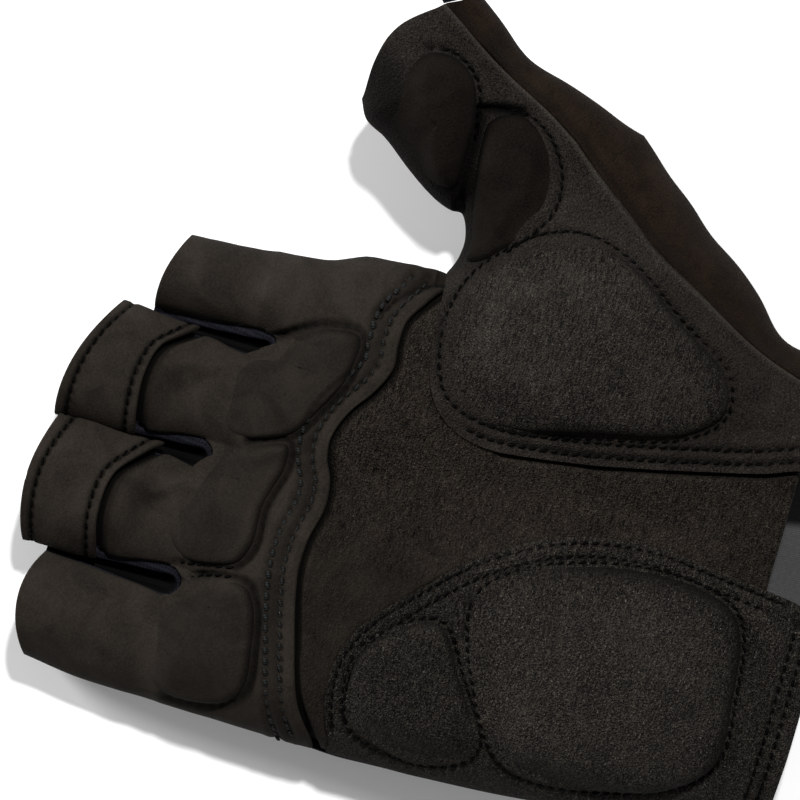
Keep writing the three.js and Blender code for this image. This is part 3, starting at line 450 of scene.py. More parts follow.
def add_mesh(name, points, faces, uv, marks=None):
    """A smooth mesh of quads from arrays; a quad whose last two corners are the same is a
    triangle. uv and marks are values for each point."""
    points = points + PLAN_ORIGIN
    triangle = faces[:, 2] == faces[:, 3]
    corners = np.concatenate([faces[~triangle].ravel(), faces[triangle][:, :3].ravel()])
    sizes = np.repeat([4, 3], [(~triangle).sum(), triangle.sum()])
    a, b, c, d = (points[faces[:, k]] for k in range(4))
    volume = (a * (np.cross(b, c) + np.cross(c, d))).sum()
    mesh = bpy.data.meshes.new(name)
    mesh.vertices.add(len(points))
    mesh.vertices.foreach_set("co", points.astype(np.float32).ravel())
    mesh.loops.add(len(corners))
    mesh.loops.foreach_set("vertex_index", corners.astype(np.int32))
    mesh.polygons.add(len(sizes))
    mesh.polygons.foreach_set("loop_start", np.concatenate([[0], np.cumsum(sizes)[:-1]]).astype(np.int32))
    mesh.update(calc_edges=True)
    mesh.validate()
    layer = mesh.uv_layers.new(name="UVMap")
    layer.data.foreach_set("uv", uv[corners].astype(np.float32).ravel())
    for key, values in (marks or {}).items():
        layer = mesh.attributes.new(key, "FLOAT", "POINT")
        layer.data.foreach_set("value", values.astype(np.float32).ravel())
    if volume < 0:
        mesh.flip_normals()
    mesh.shade_smooth()
    piece = bpy.data.objects.new(name, mesh)
    bpy.context.scene.collection.objects.link(piece)
    return piece


def shell(name, outer, normal, thickness=CLOTH, filled=None, marks=None, nose=0.25):
    """A sheet of cloth from a grid of outer points: the inner face lies a thickness below, and a
    rounded edge joins the two round every open side. filled says which cells there are."""
    rows, cols = outer.shape[:2]
    filled = np.ones((rows - 1, cols - 1), bool) if filled is None else filled
    ids = np.arange(rows * cols).reshape(rows, cols)
    a, b, c, d = ids[:-1, :-1], ids[:-1, 1:], ids[1:, 1:], ids[1:, :-1]
    quads = np.stack([corner[filled] for corner in (a, b, c, d)], axis=1)
    ring = np.pad(filled, 1)
    sides = [(a, b, ring[:-2, 1:-1]), (b, c, ring[1:-1, 2:]), (c, d, ring[2:, 1:-1]),
             (d, a, ring[1:-1, :-2])]
    rims = np.concatenate([np.stack([p[filled & ~beyond], q[filled & ~beyond]], axis=1)
                           for p, q, beyond in sides])
    count = rows * cols
    edge = np.stack([rims[:, 0] + count, rims[:, 1] + count, rims[:, 1], rims[:, 0]], axis=1)
    faces = np.concatenate([quads, quads[:, ::-1] + count, edge])
    at_rim = np.zeros(count)
    at_rim[rims.ravel()] = nose
    flat, up = outer.reshape(-1, 3), normal.reshape(-1, 3)
    points = np.concatenate([flat - up * (at_rim * thickness)[:, None],
                             flat - up * ((1 - at_rim) * thickness)[:, None]])
    across = np.linalg.norm(np.diff(outer, axis=1, prepend=outer[:, :1]), axis=2).cumsum(1)
    along = np.linalg.norm(np.diff(outer, axis=0, prepend=outer[:1]), axis=2).cumsum(0)
    across -= across[:, cols // 2:cols // 2 + 1]
    uv = np.stack([across, along], axis=-1).reshape(-1, 2) * 100
    used = np.unique(faces)
    marks = {key: np.concatenate([value.ravel(), value.ravel() * 0])[used]
             for key, value in (marks or {}).items()}
    return add_mesh(name, points[used], np.searchsorted(used, faces),
                    np.concatenate([uv, uv])[used], marks)


def fit(piece, slot, *nodes):
    """The piece stays with the glove and stands for CAD nodes, which it hides. slot is not used."""
    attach(piece, "root")
    if nodes:
        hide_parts(*nodes)
    return piece


WEB_TURNS = np.linspace(0, 1, 9)[1:-1]
STALL_COLUMNS = 36
HEM_ANGLE = math.radians(15)


def stall_angles(finger, share, columns=STALL_COLUMNS):
    """Angles round a stall, on rows at shares of the way from the crotch to the hem. The cloth
    reaches further round towards the hem, where the gusset narrows."""
    turn = GUSSET_ANGLE + (HEM_ANGLE - GUSSET_ANGLE) * np.asarray(share, float).reshape(-1, 1)
    start = np.full_like(turn, math.pi) if finger == 0 else math.pi - turn
    end = np.zeros_like(turn) if finger == 3 else turn
    return start + (end - start) * np.linspace(0, 1, columns)


def crotch_edge(slot, turn):
    """The edge that a gusset is sewn to, round the crotch of its slot in a half circle: turn is
    0 on the stall of the lower finger and 1 on the stall of the higher one."""
    root = along_to_y(SLOTS[slot][1])
    halves = [np.diff(stall_sides(finger, root))[0] / 2 for finger in (slot, slot + 1)]
    half = halves[0] + (halves[1] - halves[0]) * turn
    radius = slot_gap(slot, root) / 2 + half * (1 - math.cos(GUSSET_ANGLE))
    into = np.stack([-np.cos(turn * math.pi), -np.sin(turn * math.pi)], axis=-1)
    centre = np.array([across_to_x(SLOTS[slot][0]), root])
    return centre + into * radius[..., None], into, half


def hem_y(finger, angle):
    """Where a stall's hem is, at an angle round the stall."""
    low, middle, high = HEMS[finger]
    across = (1 + np.cos(angle)) / 2
    bow = (4 * middle - 2 * low - 2 * high) * across * (1 - across)
    return along_to_y(low + (high - low) * across + bow)


def comb(start_y, palm_steps, stall_steps, side, high_side):
    """A panel with the four stalls' tongues on it. Its columns are a fan of angles round each
    stall, from the first row to the hem, and a few across each web, which stop at the crotch."""
    xs, ys, webs = [], [], []
    for finger in range(4):
        roots = [along_to_y(SLOTS[k][1]) for k in (finger - 1, finger) if 0 <= k < 3]
        share = np.concatenate([np.zeros(len(palm_steps)), stall_steps[1:]])
        angle = stall_angles(finger, share)

        def column_x(y, angle):
            low, high = stall_sides(finger, y, high_side)
            return (low + high) / 2 + (high - low) / 2 * np.cos(angle)

        root = roots[0] + (roots[-1] - roots[0]) * (1 + np.cos(angle[0])) / 2
        first = np.full(STALL_COLUMNS, crotch[1])
        for _ in range(6):
            first = start_y(column_x(first, angle[0]))
        y = np.concatenate([first + (root - first) * palm_steps[:, None],
                            root + (hem_y(finger, angle[-1]) - root) * stall_steps[1:, None]])
        xs.append(column_x(y, angle))
        ys.append(y)
        webs.append(np.zeros(STALL_COLUMNS, bool))
        if finger < 3:
            edge = crotch_edge(finger, WEB_TURNS)[0]
            x = np.broadcast_to(edge[:, 0], (len(y), len(edge)))
            first = start_y(edge[:, 0])
            down = np.concatenate([palm_steps, np.ones(len(stall_steps) - 1)])[:, None]
            xs.append(x)
            ys.append(first + (edge[:, 1] - first) * down)
            webs.append(np.ones(len(edge), bool))
    x, y, web = np.concatenate(xs, axis=1), np.concatenate(ys, axis=1), np.concatenate(webs)
    points, normals = surface(x, y, side)
    last = len(palm_steps) - 1
    for slot in range(3):
        columns = np.flatnonzero(web)[slot * len(WEB_TURNS):][:len(WEB_TURNS)]
        into = crotch_edge(slot, WEB_TURNS)[1]
        normals[last, columns] = np.column_stack(
            [-into * math.cos(GUSSET_ANGLE), np.full(len(into), side * math.sin(GUSSET_ANGLE))])
    hold_rim(points, normals, 0, side=side)
    past_crotch = np.flatnonzero(y[:, -1] >= crotch[1] - SEAM_GAP)
    if len(past_crotch):
        hold_rim(points, normals, x.shape[1] - 1, slice(past_crotch[0], None), side)
    filled = np.ones((len(y) - 1, x.shape[1] - 1), bool)
    filled[last:, web[:-1] | web[1:]] = False
    return points, normals, filled


def hand_side_x(y):
    """The back panel ends at its seam with the thumb's back, and past the crotch at the index."""
    return np.where(y < crotch[1], back_seam_x(y) - SEAM_GAP / 2, index_x(y))


points, normals, filled = comb(lambda x: np.zeros(np.shape(x)), np.linspace(0, 1, 90),
                               np.linspace(0, 1, 45), -1, hand_side_x)
points += normals * (waves(points[..., 0], points[..., 1], 0.02, 0.00025, 3) * off_floor(points))[..., None]
back_panel = shell("back_panel_knit", points, normals, filled=filled)
fit(back_panel, "stretch_cloth", "back_panel")


def linear(red, green, blue):
    """A colour as read from a picture, 0 to 255, made linear for a shader."""
    return tuple((value / 255) ** 2.2 for value in (red, green, blue)) + (1,)


def node_group(name, inputs, outputs):
    """An empty node group with named sockets, and its two ends."""
    group = bpy.data.node_groups.new(name, "ShaderNodeTree")
    for key, kind in inputs.items():
        group.interface.new_socket(key, in_out="INPUT", socket_type="NodeSocket" + kind)
    for key, kind in outputs.items():
        group.interface.new_socket(key, in_out="OUTPUT", socket_type="NodeSocket" + kind)
    return group, group.nodes.new("NodeGroupInput"), group.nodes.new("NodeGroupOutput")


def maths(tree, operation, first, second=0.0, third=0.0):
    """One sum in a node tree."""
    inputs = {0: first, 1: second, 2: third}
    return add_node(tree, "ShaderNodeMath", inputs, operation=operation).outputs[0]


def cloth_material(name, roughness, sheen, specular):
    """A material with a Principled shader that has the given plain values."""
    material = bpy.data.materials.new(name)
    material.use_nodes = True
    shader = material.node_tree.nodes["Principled BSDF"]
    shader.inputs["Roughness"].default_value = roughness
    shader.inputs["Sheen Weight"].default_value = sheen
    shader.inputs["Sheen Roughness"].default_value = 0.45
    shader.inputs["Specular IOR Level"].default_value = specular
    return material, material.node_tree, shader


def mixed(tree, share, first, second):
    """A colour between two others."""
    made = add_node(tree, "ShaderNodeMix", data_type="RGBA")
    sockets = made.inputs["Factor"], made.inputs[6], made.inputs[7]
    for socket, value in zip(sockets, (share, first, second)):
        if isinstance(value, bpy.types.NodeSocket):
            tree.links.new(value, socket)
        else:
            socket.default_value = value
    return made.outputs[2]


# Knit: ribs along the cloth and loops across them, on the cloth's own lengths
knit, knit_in, knit_out = node_group(
    "knit", {"Vector": "Vector", "Ribs": "Float", "Loops": "Float"},
    {"Height": "Float", "Fleck": "Float"})
split = add_node(knit, "ShaderNodeSeparateXYZ", {"Vector": knit_in.outputs["Vector"]})
rib = maths(knit, "SINE", maths(knit, "MULTIPLY", split.outputs["X"], knit_in.outputs["Ribs"]))
shifted = maths(knit, "ADD", maths(knit, "MULTIPLY", split.outputs["Y"], knit_in.outputs["Loops"]),
                maths(knit, "MULTIPLY", rib, 0.8))
loop = maths(knit, "SINE", shifted)
loops = maths(knit, "MULTIPLY_ADD", maths(knit, "MULTIPLY", rib, loop), 0.25, 0.5)
fluff = add_node(knit, "ShaderNodeTexNoise",
                 {"Vector": knit_in.outputs["Vector"], "Scale": 14.0, "Detail": 3.0})
knit.links.new(maths(knit, "MULTIPLY_ADD", rib, 0.2, loops), knit_out.inputs["Height"])
knit.links.new(fluff.outputs["Fac"], knit_out.inputs["Fleck"])


def knit_material(name, dark, light, ribs, loops, bump):
    """Stretch knit: ribs and loops in the bump, lighter on the ribs, and painted nearly black where a
    piece's shade mark is 1, as painted shade in a deep fold."""
    material, tree, shader = cloth_material(name, 0.8, 0.0, 0.06)
    place = add_node(tree, "ShaderNodeUVMap", uv_map="UVMap")
    pattern = add_node(tree, "ShaderNodeGroup", node_tree=knit)
    tree.links.new(place.outputs["UV"], pattern.inputs["Vector"])
    pattern.inputs["Ribs"].default_value, pattern.inputs["Loops"].default_value = ribs, loops
    share = maths(tree, "MULTIPLY", pattern.outputs["Height"], pattern.outputs["Fleck"])
    shade = add_node(tree, "ShaderNodeAttribute", attribute_name="shade").outputs["Fac"]
    colour = mixed(tree, share, dark, light)
    colour = mixed(tree, maths(tree, "MULTIPLY", shade, 0.97), colour, linear(2, 2, 4))
    tree.links.new(colour, shader.inputs["Base Color"])
    relief_node = add_node(tree, "ShaderNodeBump",
                           {"Height": pattern.outputs["Height"], "Distance": bump, "Strength": 0.7})
    tree.links.new(relief_node.outputs["Normal"], shader.inputs["Normal"])
    return material


black_knit = knit_material("black_stretch_knit", linear(9, 9, 13), linear(42, 43, 51), 70.0, 90.0, 0.0001)
back_panel.data.materials.append(black_knit)


# Back of the thumb: soft brown suede from the seam on the palm side over the outline and under
# the thumb to the back panel. The seam stands up as a narrow ridge.
THUMB_HEM = [(0.938, 1.03), (0.934, 1.165), (0.912, 1.295), (0.85, 1.422)]
THUMB_SEAM = [(0.85, 1.422), (0.799, 1.347), (0.739, 1.267), (0.689, 1.205), (0.648, 1.16), (0.592, 1.089)]
WRIST_SEAM = [(0.592, 1.089), (0.516, 0.952), (0.431, 0.809), (0.331, 0.679), (0.234, 0.566),
              (0.142, 0.497), (0, 0.46)]
THENAR_EDGE = [(0.732, 0.525), (0.728, 0.45), (0.725, 0.382), (0.716, 0.311), (0.697, 0.255), (0.66, 0.211),
               (0.605, 0.191), (0.507, 0.2), (0.381, 0.229), (0.256, 0.266), (0.163, 0.296), (0.104, 0.322),
               (0, 0.33)]
thumb_hem, thumb_seam, wrist_seam, thenar_edge = (
    smooth_line(plan(rows)) for rows in (THUMB_HEM, THUMB_SEAM, WRIST_SEAM, THENAR_EDGE))
THUMB_STEPS, WRIST_STEPS = 90, 90
thumb_t, wrist_t = np.linspace(0, 1, THUMB_STEPS), np.linspace(0, 1, WRIST_STEPS)[1:]
under_y = crotch[1] * (1 - wrist_t)
row_inner = np.concatenate([on_line(thumb_inner, thumb_t), on_line(thenar_edge, wrist_t)])
row_seam = np.concatenate([on_line(thumb_seam, thumb_t), on_line(wrist_seam, wrist_t)])
row_outer = np.concatenate([on_line(thumb_outer, thumb_t), on_line(wrist_outer, wrist_t)])
row_under = np.concatenate([row_inner[:THUMB_STEPS] + 0.012 * (row_outer - row_inner)[:THUMB_STEPS],
                            np.column_stack([back_seam_x(under_y) + SEAM_GAP / 2, under_y])])


def thumb_back(seam, outer, under, cells=(30, 44)):
    """Grid across the thumb's back: from the seam to the outline, closer there, then under."""
    inset = SEAM_GAP / 8 / np.linalg.norm(outer - seam, axis=1, keepdims=True)
    up = np.sin(np.linspace(0, 1, cells[0]) * math.pi / 2)[None, :, None]
    down = 1 - np.cos(np.linspace(0, 1, cells[1])[1:] * math.pi / 2)[None, :, None]
    above = seam[:, None] + (outer - seam)[:, None] * (inset[:, None] + (1 - inset[:, None]) * up)
    below = outer[:, None] + (under - outer)[:, None] * down
    top, top_normal = surface(above[..., 0], above[..., 1], 1)
    low, low_normal = surface(below[..., 0], below[..., 1], -1)
    hold_rim(top, top_normal, cells[0] - 1, side=0)
    return np.concatenate([top, low], axis=1), np.concatenate([top_normal, low_normal], axis=1)


points, normals = thumb_back(row_seam, row_outer, row_under)
SEAM_RIDGE, SEAM_DIP, SEAM_SHADE, SEAM_NOSE = 0.0002, 0.0003, 0.45, 0.03
ridge = away(points, [row_seam])
top_side = (normals[..., 2] > 0.05).astype(float)
swell = top_side * (SEAM_RIDGE * bell(ridge, 0.0012) - SEAM_DIP * bell(ridge, 0.0015, 0.0025))
swell += waves(points[..., 0], points[..., 1], 0.016, 0.0003, 5) * off_floor(points)
points += normals * swell[..., None]
# Painted shade beside the seam ridge, on the top side
thumb_back_panel = shell("thumb_back_suede", points, normals, nose=SEAM_NOSE, marks={
    "shade": top_side * SEAM_SHADE * bell(ridge, 0.0011, 0.001)})
fit(thumb_back_panel, "thumb_fleece", "thumb_back_panel")

# Nap of suede: clouds where the fibres lie another way, fine grain, single bright fibres, and
# a stretched grain whose streaks run along Streak's X
nap, nap_in, nap_out = node_group(
    "nap", {"Vector": "Vector", "Streak": "Vector", "Cloud": "Float", "Grain": "Float"},
    {"Cloud": "Float", "Grain": "Float", "Fibre": "Float", "Streak": "Float"})


def nap_noise(vector, scale, detail, roughness, distortion=0.0):
    """One noise of the nap group."""
    return add_node(nap, "ShaderNodeTexNoise", {
        "Vector": nap_in.outputs[vector], "Scale": scale, "Detail": detail, "Roughness": roughness,
        "Distortion": distortion})


cloud = nap_noise("Vector", nap_in.outputs["Cloud"], 3.0, 0.55, 0.8)
grain = nap_noise("Vector", nap_in.outputs["Grain"], 1.0, 0.5)
fibre = nap_noise("Vector", maths(nap, "MULTIPLY", nap_in.outputs["Grain"], 1.2), 2.0, 0.6, 1.5)
bright = add_node(nap, "ShaderNodeMapRange",
                  {"Value": fibre.outputs["Fac"], "From Min": 0.58, "From Max": 0.75})
streak = nap_noise("Streak", 1000.0, 2.0, 0.6, 0.5)
nap.links.new(cloud.outputs["Fac"], nap_out.inputs["Cloud"])
nap.links.new(grain.outputs["Fac"], nap_out.inputs["Grain"])
nap.links.new(bright.outputs["Result"], nap_out.inputs["Fibre"])
nap.links.new(streak.outputs["Fac"], nap_out.inputs["Streak"])


def suede_material(name, tone, spark, cloud_size, grain_size, contrast, sparkle, bump,
                   streak=(0, 1, 1, 0), grainy=None, cloudy=1.6):
    """Suede: the tone swings with clouds, grain and streaks, bright fibres lie on top, and it is
    painted darker where a piece's shade mark is above 0, mostly painted shade and on some pads a
    darker tone, and painted lighter towards spark where the mark is below 0, as a painted highlight.
    streak gives the turn of the streaks in degrees, their size along and across in millimetres, and
    their strength. grainy gives the share of the palm's width where coarse grain begins, for a worn palm."""
    material, tree, shader = cloth_material(name, 0.92, 0.03, 0.07)
    shader.inputs["Sheen Tint"].default_value = spark
    place = add_node(tree, "ShaderNodeTexCoord").outputs["Object"]
    turned = add_node(tree, "ShaderNodeMapping", {
        "Vector": place, "Rotation": (0, 0, -math.radians(streak[0])),
        "Scale": (1 / streak[1], 1 / streak[2], 1)}).outputs["Vector"]
    pattern = add_node(tree, "ShaderNodeGroup", node_tree=nap)
    tree.links.new(place, pattern.inputs["Vector"])
    tree.links.new(turned, pattern.inputs["Streak"])
    pattern.inputs["Cloud"].default_value = cloud_size
    pattern.inputs["Grain"].default_value = grain_size
    swing = maths(tree, "MULTIPLY_ADD", pattern.outputs["Grain"], contrast,
                  maths(tree, "MULTIPLY", pattern.outputs["Streak"], streak[3]))
    swing = maths(tree, "ADD", swing, -(contrast + streak[3]) / 2)
    height = maths(tree, "MULTIPLY_ADD", pattern.outputs["Streak"], streak[3],
                   maths(tree, "MULTIPLY", pattern.outputs["Grain"], contrast))
    gleam = maths(tree, "MULTIPLY", pattern.outputs["Fibre"], sparkle)
    if grainy is not None:
        across = add_node(tree, "ShaderNodeSeparateXYZ", {"Vector": place}).outputs["X"]
        start = float(across_to_x(grainy) + PLAN_ORIGIN[0])
        coarse = add_node(tree, "ShaderNodeMapRange", {
            "Value": across, "From Min": start, "From Max": start + 0.02, "To Min": 0.25,
            "To Max": 1.0}).outputs["Result"]
        swing, gleam, height = (maths(tree, "MULTIPLY", value, coarse) for value in (swing, gleam, height))
        swing = maths(tree, "ADD", swing, maths(tree, "MULTIPLY_ADD", coarse, 0.7, -0.25))
    clouds = maths(tree, "MULTIPLY_ADD", pattern.outputs["Cloud"], cloudy, 1 - cloudy / 2)
    swing = maths(tree, "ADD", swing, clouds)
    colour = add_node(tree, "ShaderNodeVectorMath", {0: tone[:3]}, operation="SCALE")
    tree.links.new(maths(tree, "MAXIMUM", swing, 0.15), colour.inputs["Scale"])
    colour = mixed(tree, gleam, colour.outputs["Vector"], spark)
    shade = add_node(tree, "ShaderNodeAttribute", attribute_name="shade").outputs["Fac"]
    # Painted shade towards near-black where the shade mark is above 0, and a painted highlight towards spark
    # where it is below 0
    colour = mixed(tree, maths(tree, "MULTIPLY", shade, 0.92), colour, linear(3, 3, 3))
    colour = mixed(tree, maths(tree, "MULTIPLY", shade, -1.0), colour, spark)
    tree.links.new(colour, shader.inputs["Base Color"])
    bump_node = add_node(tree, "ShaderNodeBump", {"Height": height, "Distance": bump, "Strength": 0.9})
    tree.links.new(bump_node.outputs["Normal"], shader.inputs["Normal"])
    return material


brown_suede = suede_material(
    "brown_suede", linear(29.5, 23.2, 18), linear(56, 46, 37),
    cloud_size=160.0, grain_size=2400.0, contrast=1.6, sparkle=0.2, bump=0.0002, cloudy=1.8)
thumb_back_panel.data.materials.append(brown_suede)


# Binding on the thumb's hem: a narrow strip of the black knit, folded over the edge of the
# brown suede and sewn down.
direction = on_line(thumb_outer, 0.0) - on_line(thumb_outer, 0.1)
direction /= np.linalg.norm(direction)
BINDING_REACH, BINDING_ROLL = 0.0026, 0.00035
reach = np.linspace(SEAM_GAP, BINDING_REACH, 12)[:, None] * direction
points, normals = thumb_back(row_seam[0] + reach, row_outer[0] + reach, row_under[0] + 0.1 * reach)
roll = np.sin(np.linspace(0.12, 1, 12) * math.pi) * BINDING_ROLL
points += normals * roll[:, None, None]
thumb_binding = shell("thumb_binding_strip", points, normals)
fit(thumb_binding, "stretch_cloth", "thumb_binding")
thumb_binding.data.materials.append(black_knit)


# Lining inside the back of the cuff: smooth grey cloth, seen through the vent in the palm side.
LINING_LENGTH, LINING_CLOTH = 0.03, 0.001
y = np.linspace(0, LINING_LENGTH, 40)[:, None] * np.ones((1, 60))
low, high = little_x(y) + SIDE_ROUND, back_seam_x(y) - SIDE_ROUND / 3
x = low + (high - low) * np.linspace(0, 1, 60)[None]
points, normals = surface(x, y, -1)
points -= normals * (CLOTH + SEAM_GAP)
points -= normals * (waves(x, y, 0.012, 0.00012, 9) + 0.00012)[..., None]
cuff_lining = shell("cuff_lining_cloth", points, normals, LINING_CLOTH)
fit(cuff_lining, "cuff_lining", "cuff_lining")
grey_lining = knit_material("grey_lining", linear(58, 58, 59), linear(92, 92, 92), 150.0, 150.0, 0.00006)
cuff_lining.data.materials.append(grey_lining)


# Middle of the palm: one layer of suede that lies lower than its neighbours. The panels of the
# thumb and the fingers lap over it; towards the heel it comes up to the sewn edge.
PALM_ROWS = [(0.105, 0.03, 0.36), (0.25, 0.045, 0.32), (0.4, 0.03, 0.275), (0.52, -0.05, 0.25),
             (0.6, -0.13, 0.24), (0.66, -0.22, 0.26), (0.69, -0.38, 0.31), (0.715, -0.55, 0.48),
             (0.74, -0.55, 0.505), (0.87, -0.55, 0.475)]
HEEL_EDGE = [(0.705, -0.475), (0.722, -0.434), (0.735, -0.354), (0.731, -0.289), (0.708, -0.222),
             (0.661, -0.15), (0.597, -0.065), (0.529, 0.002), (0.442, 0.06), (0.365, 0.086), (0.284, 0.094),
             (0.199, 0.083), (0.1, 0.069), (0.04, 0.055), (0, 0.02)]
heel_edge = smooth_line(plan(HEEL_EDGE))
palm_low = smooth_table([(along, low) for along, low, _ in PALM_ROWS])
palm_high = smooth_table([(along, high) for along, _, high in PALM_ROWS])
along = np.linspace(PALM_ROWS[0][0], PALM_ROWS[-1][0], 230)[:, None] * np.ones((1, 180))
y = along_to_y(along)
side = little_x(y)
low = np.maximum(across_to_x(palm_low(along)), side)
x = low + (across_to_x(palm_high(along)) - low) * (1 - np.cos(np.linspace(0, 1, 180) * math.pi)) / 2
points, normals = surface(x, y)
rim_rows = np.flatnonzero(low[:, 0] == side[:, 0])
hold_rim(points, normals, 0, slice(rim_rows[0], None))


def signed_side(x, y, line):
    """Distance to a line, positive to the right of its run and negative to the left."""
    near, run = nearest(x, y, [line])
    length = np.linalg.norm(np.diff(line, axis=0), axis=1).sum()
    at = on_line(line, run / length)
    ahead = on_line(line, run / length + 0.01) - on_line(line, run / length - 0.01)
    turn = ahead[..., 0] * (y - at[..., 1]) - ahead[..., 1] * (x - at[..., 0])
    return near * -np.sign(turn)


# How deep the palm lies below the surface: where it is open, under a neighbour, and at the heel's edge
OPEN_DROP, LAPPED_DROP, EDGE_DROP = 0.0005, 0.0018, 0.00035
SLIT_WIDTH, LAP_WIDTH, RAMP_WIDTH = 0.0017, 0.0009, 0.004
SPECK_SIZE, SPECK_LENGTH, SPECK_DEPTH = 0.00055, 0.0002, 0.0003
KNUCKLE_EDGE = [
    (-0.55, 0.7), (-0.5, 0.73), (-0.411, 0.774), (-0.294, 0.803), (-0.165, 0.827), (-0.09, 0.827),
    (-0.018, 0.815), (0.041, 0.819), (0.082, 0.833), (0.126, 0.836), (0.185, 0.819), (0.238, 0.79),
    (0.292, 0.772), (0.343, 0.775), (0.393, 0.772), (0.437, 0.752), (0.483, 0.73), (0.55, 0.705)]
knuckle_share = smooth_table(KNUCKLE_EDGE)
knuckle_x = np.linspace(-0.5, 0.53, 240) * PALM_WIDTH
knuckle_edge = np.column_stack([knuckle_x, along_to_y(knuckle_share(knuckle_x / PALM_WIDTH))])
thenar_slit = on_line(thenar_edge, np.linspace(0.38, 1, 160))
past_knuckles, past_thenar, past_heel = (
    signed_side(x, y, line) * way for line, way in ((knuckle_edge, 1), (thenar_edge, 1), (heel_edge, -1)))
slit = np.minimum(past_knuckles, away(points, [thenar_slit]))
under = np.minimum(np.minimum(past_knuckles, past_thenar), past_heel)
palm_drop = OPEN_DROP + (LAPPED_DROP - OPEN_DROP) * (1 - smoothstep(slit, 0.0005, SLIT_WIDTH))
palm_drop = np.maximum(palm_drop, EDGE_DROP + (LAPPED_DROP - EDGE_DROP) * smoothstep(-under, 0.0, LAP_WIDTH))
palm_drop = np.where((past_heel > 0) & (past_heel < RAMP_WIDTH) & (slit > SLIT_WIDTH),
                     EDGE_DROP + (OPEN_DROP - EDGE_DROP) * smoothstep(past_heel, 0, RAMP_WIDTH), palm_drop)
SPECKS = [(0.729, 0.19), (0.754, 0.086), (0.78, -0.041)]
spots = [plan([place, place]) + [[0, 0], [SPECK_LENGTH, 0]] for place in SPECKS]
speck = bell(away(points, spots), SPECK_SIZE)
points -= normals * (palm_drop - worn(points, 0.018, 0.00025, 11) + SPECK_DEPTH * speck)[..., None]
# Painted shade in the slits where the finger and thumb panels lap over the palm, and darker specks in three
# small dents
palm_shade = np.maximum(1 - smoothstep(slit, 0.0004, 0.0012), speck)
palm_panel = shell("palm_suede", points, normals, marks={"shade": palm_shade})
fit(palm_panel, "palm_suede", "palm_panel")
palm_suede = suede_material(
    "palm_suede", linear(31, 27.6, 24.3), linear(122, 114, 105),
    cloud_size=90.0, grain_size=2900.0, contrast=4.4, sparkle=0.45, bump=0.0003,
    streak=(-75, 1.7, 0.45, 4.4), grainy=-0.12, cloudy=2.2)
palm_panel.data.materials.append(palm_suede)


# Heel of the hand: the suede goes on over two foam pads, quilted with rows of dark thread.
# Two rows follow the upper edge, one hugs each pad, and two close the cuff.
def beside(line, distance):
    """A line beside another: every point moves square to the run, left for a positive distance."""
    run = np.gradient(line, axis=0)
    run /= np.linalg.norm(run, axis=1, keepdims=True)
    return line + distance * np.column_stack([-run[:, 1], run[:, 0]])


def part_of(line, start, end):
    """The piece of a line between two shares of its length; past 1 it goes round again."""
    length = np.linalg.norm(np.diff(line, axis=0), axis=1).sum()
    count = max(12, int((end - start) * length / 0.0006))
    share = np.linspace(start, end, count)
    return on_line(line, np.where(share > 1, share - 1, share))


STITCH_PITCH = 0.0021
STITCH_LENGTH = 0.0016
THREAD_RADIUS = 0.00026
GROOVE_DEPTH, GROOVE_WIDTH = 0.0005, 0.0006
PUFF_HEIGHT, PUFF_WIDTH, PUFF_PLACE = 0.00012, 0.0006, 0.0016


def stitched(x, y, rows):
    """How far rows of stitches press the cloth in, and the painted shade in their grooves. Both are
    greatest in the middle of a stitch; between two stitches the cloth puffs up and gets a painted highlight."""
    near, run = nearest(x, y, rows)
    beat = np.cos(2 * math.pi * run / STITCH_PITCH)
    press = bell(near, GROOVE_WIDTH)
    puffed = PUFF_HEIGHT * bell(near, PUFF_WIDTH, PUFF_PLACE)
    return puffed - GROOVE_DEPTH * press * (0.75 - 0.25 * beat), press * (0.38 - 0.48 * beat)


def stitch_template():
    """One stitch along X: rings of six points on a bent strand that is thick in the middle and
    closes to a point at both ends."""
    s = np.linspace(-0.9, 0.9, 7)
    around = np.arange(6) * math.pi / 3
    radius = np.sqrt(1 - s ** 4)[:, None]
    ring = np.stack([np.broadcast_to(s[:, None] * 0.5, (7, 6)), radius * np.cos(around),
                     radius * np.sin(around) + 0.9 * (1 - s[:, None] ** 2)], axis=-1).reshape(-1, 3)
    points = np.concatenate([ring, [[-0.5, 0, -0.5], [0.5, 0, -0.5]]])
    a = (np.arange(6)[:, None] * 6 + np.arange(6)).ravel()
    b = (np.arange(6)[:, None] * 6 + (np.arange(6) + 1) % 6).ravel()
    sides = np.stack([a, b, b + 6, a + 6], axis=1)
    k = np.arange(6)
    first = np.stack([(k + 1) % 6, k, np.full(6, 42), np.full(6, 42)], axis=1)
    last = np.stack([k + 36, (k + 1) % 6 + 36, np.full(6, 43), np.full(6, 43)], axis=1)
    uv = np.concatenate([np.column_stack([np.repeat(s, 6), np.tile(around, 7)]), [[-1, 0], [1, 0]]])
    return points, np.concatenate([sides, first, last]), uv


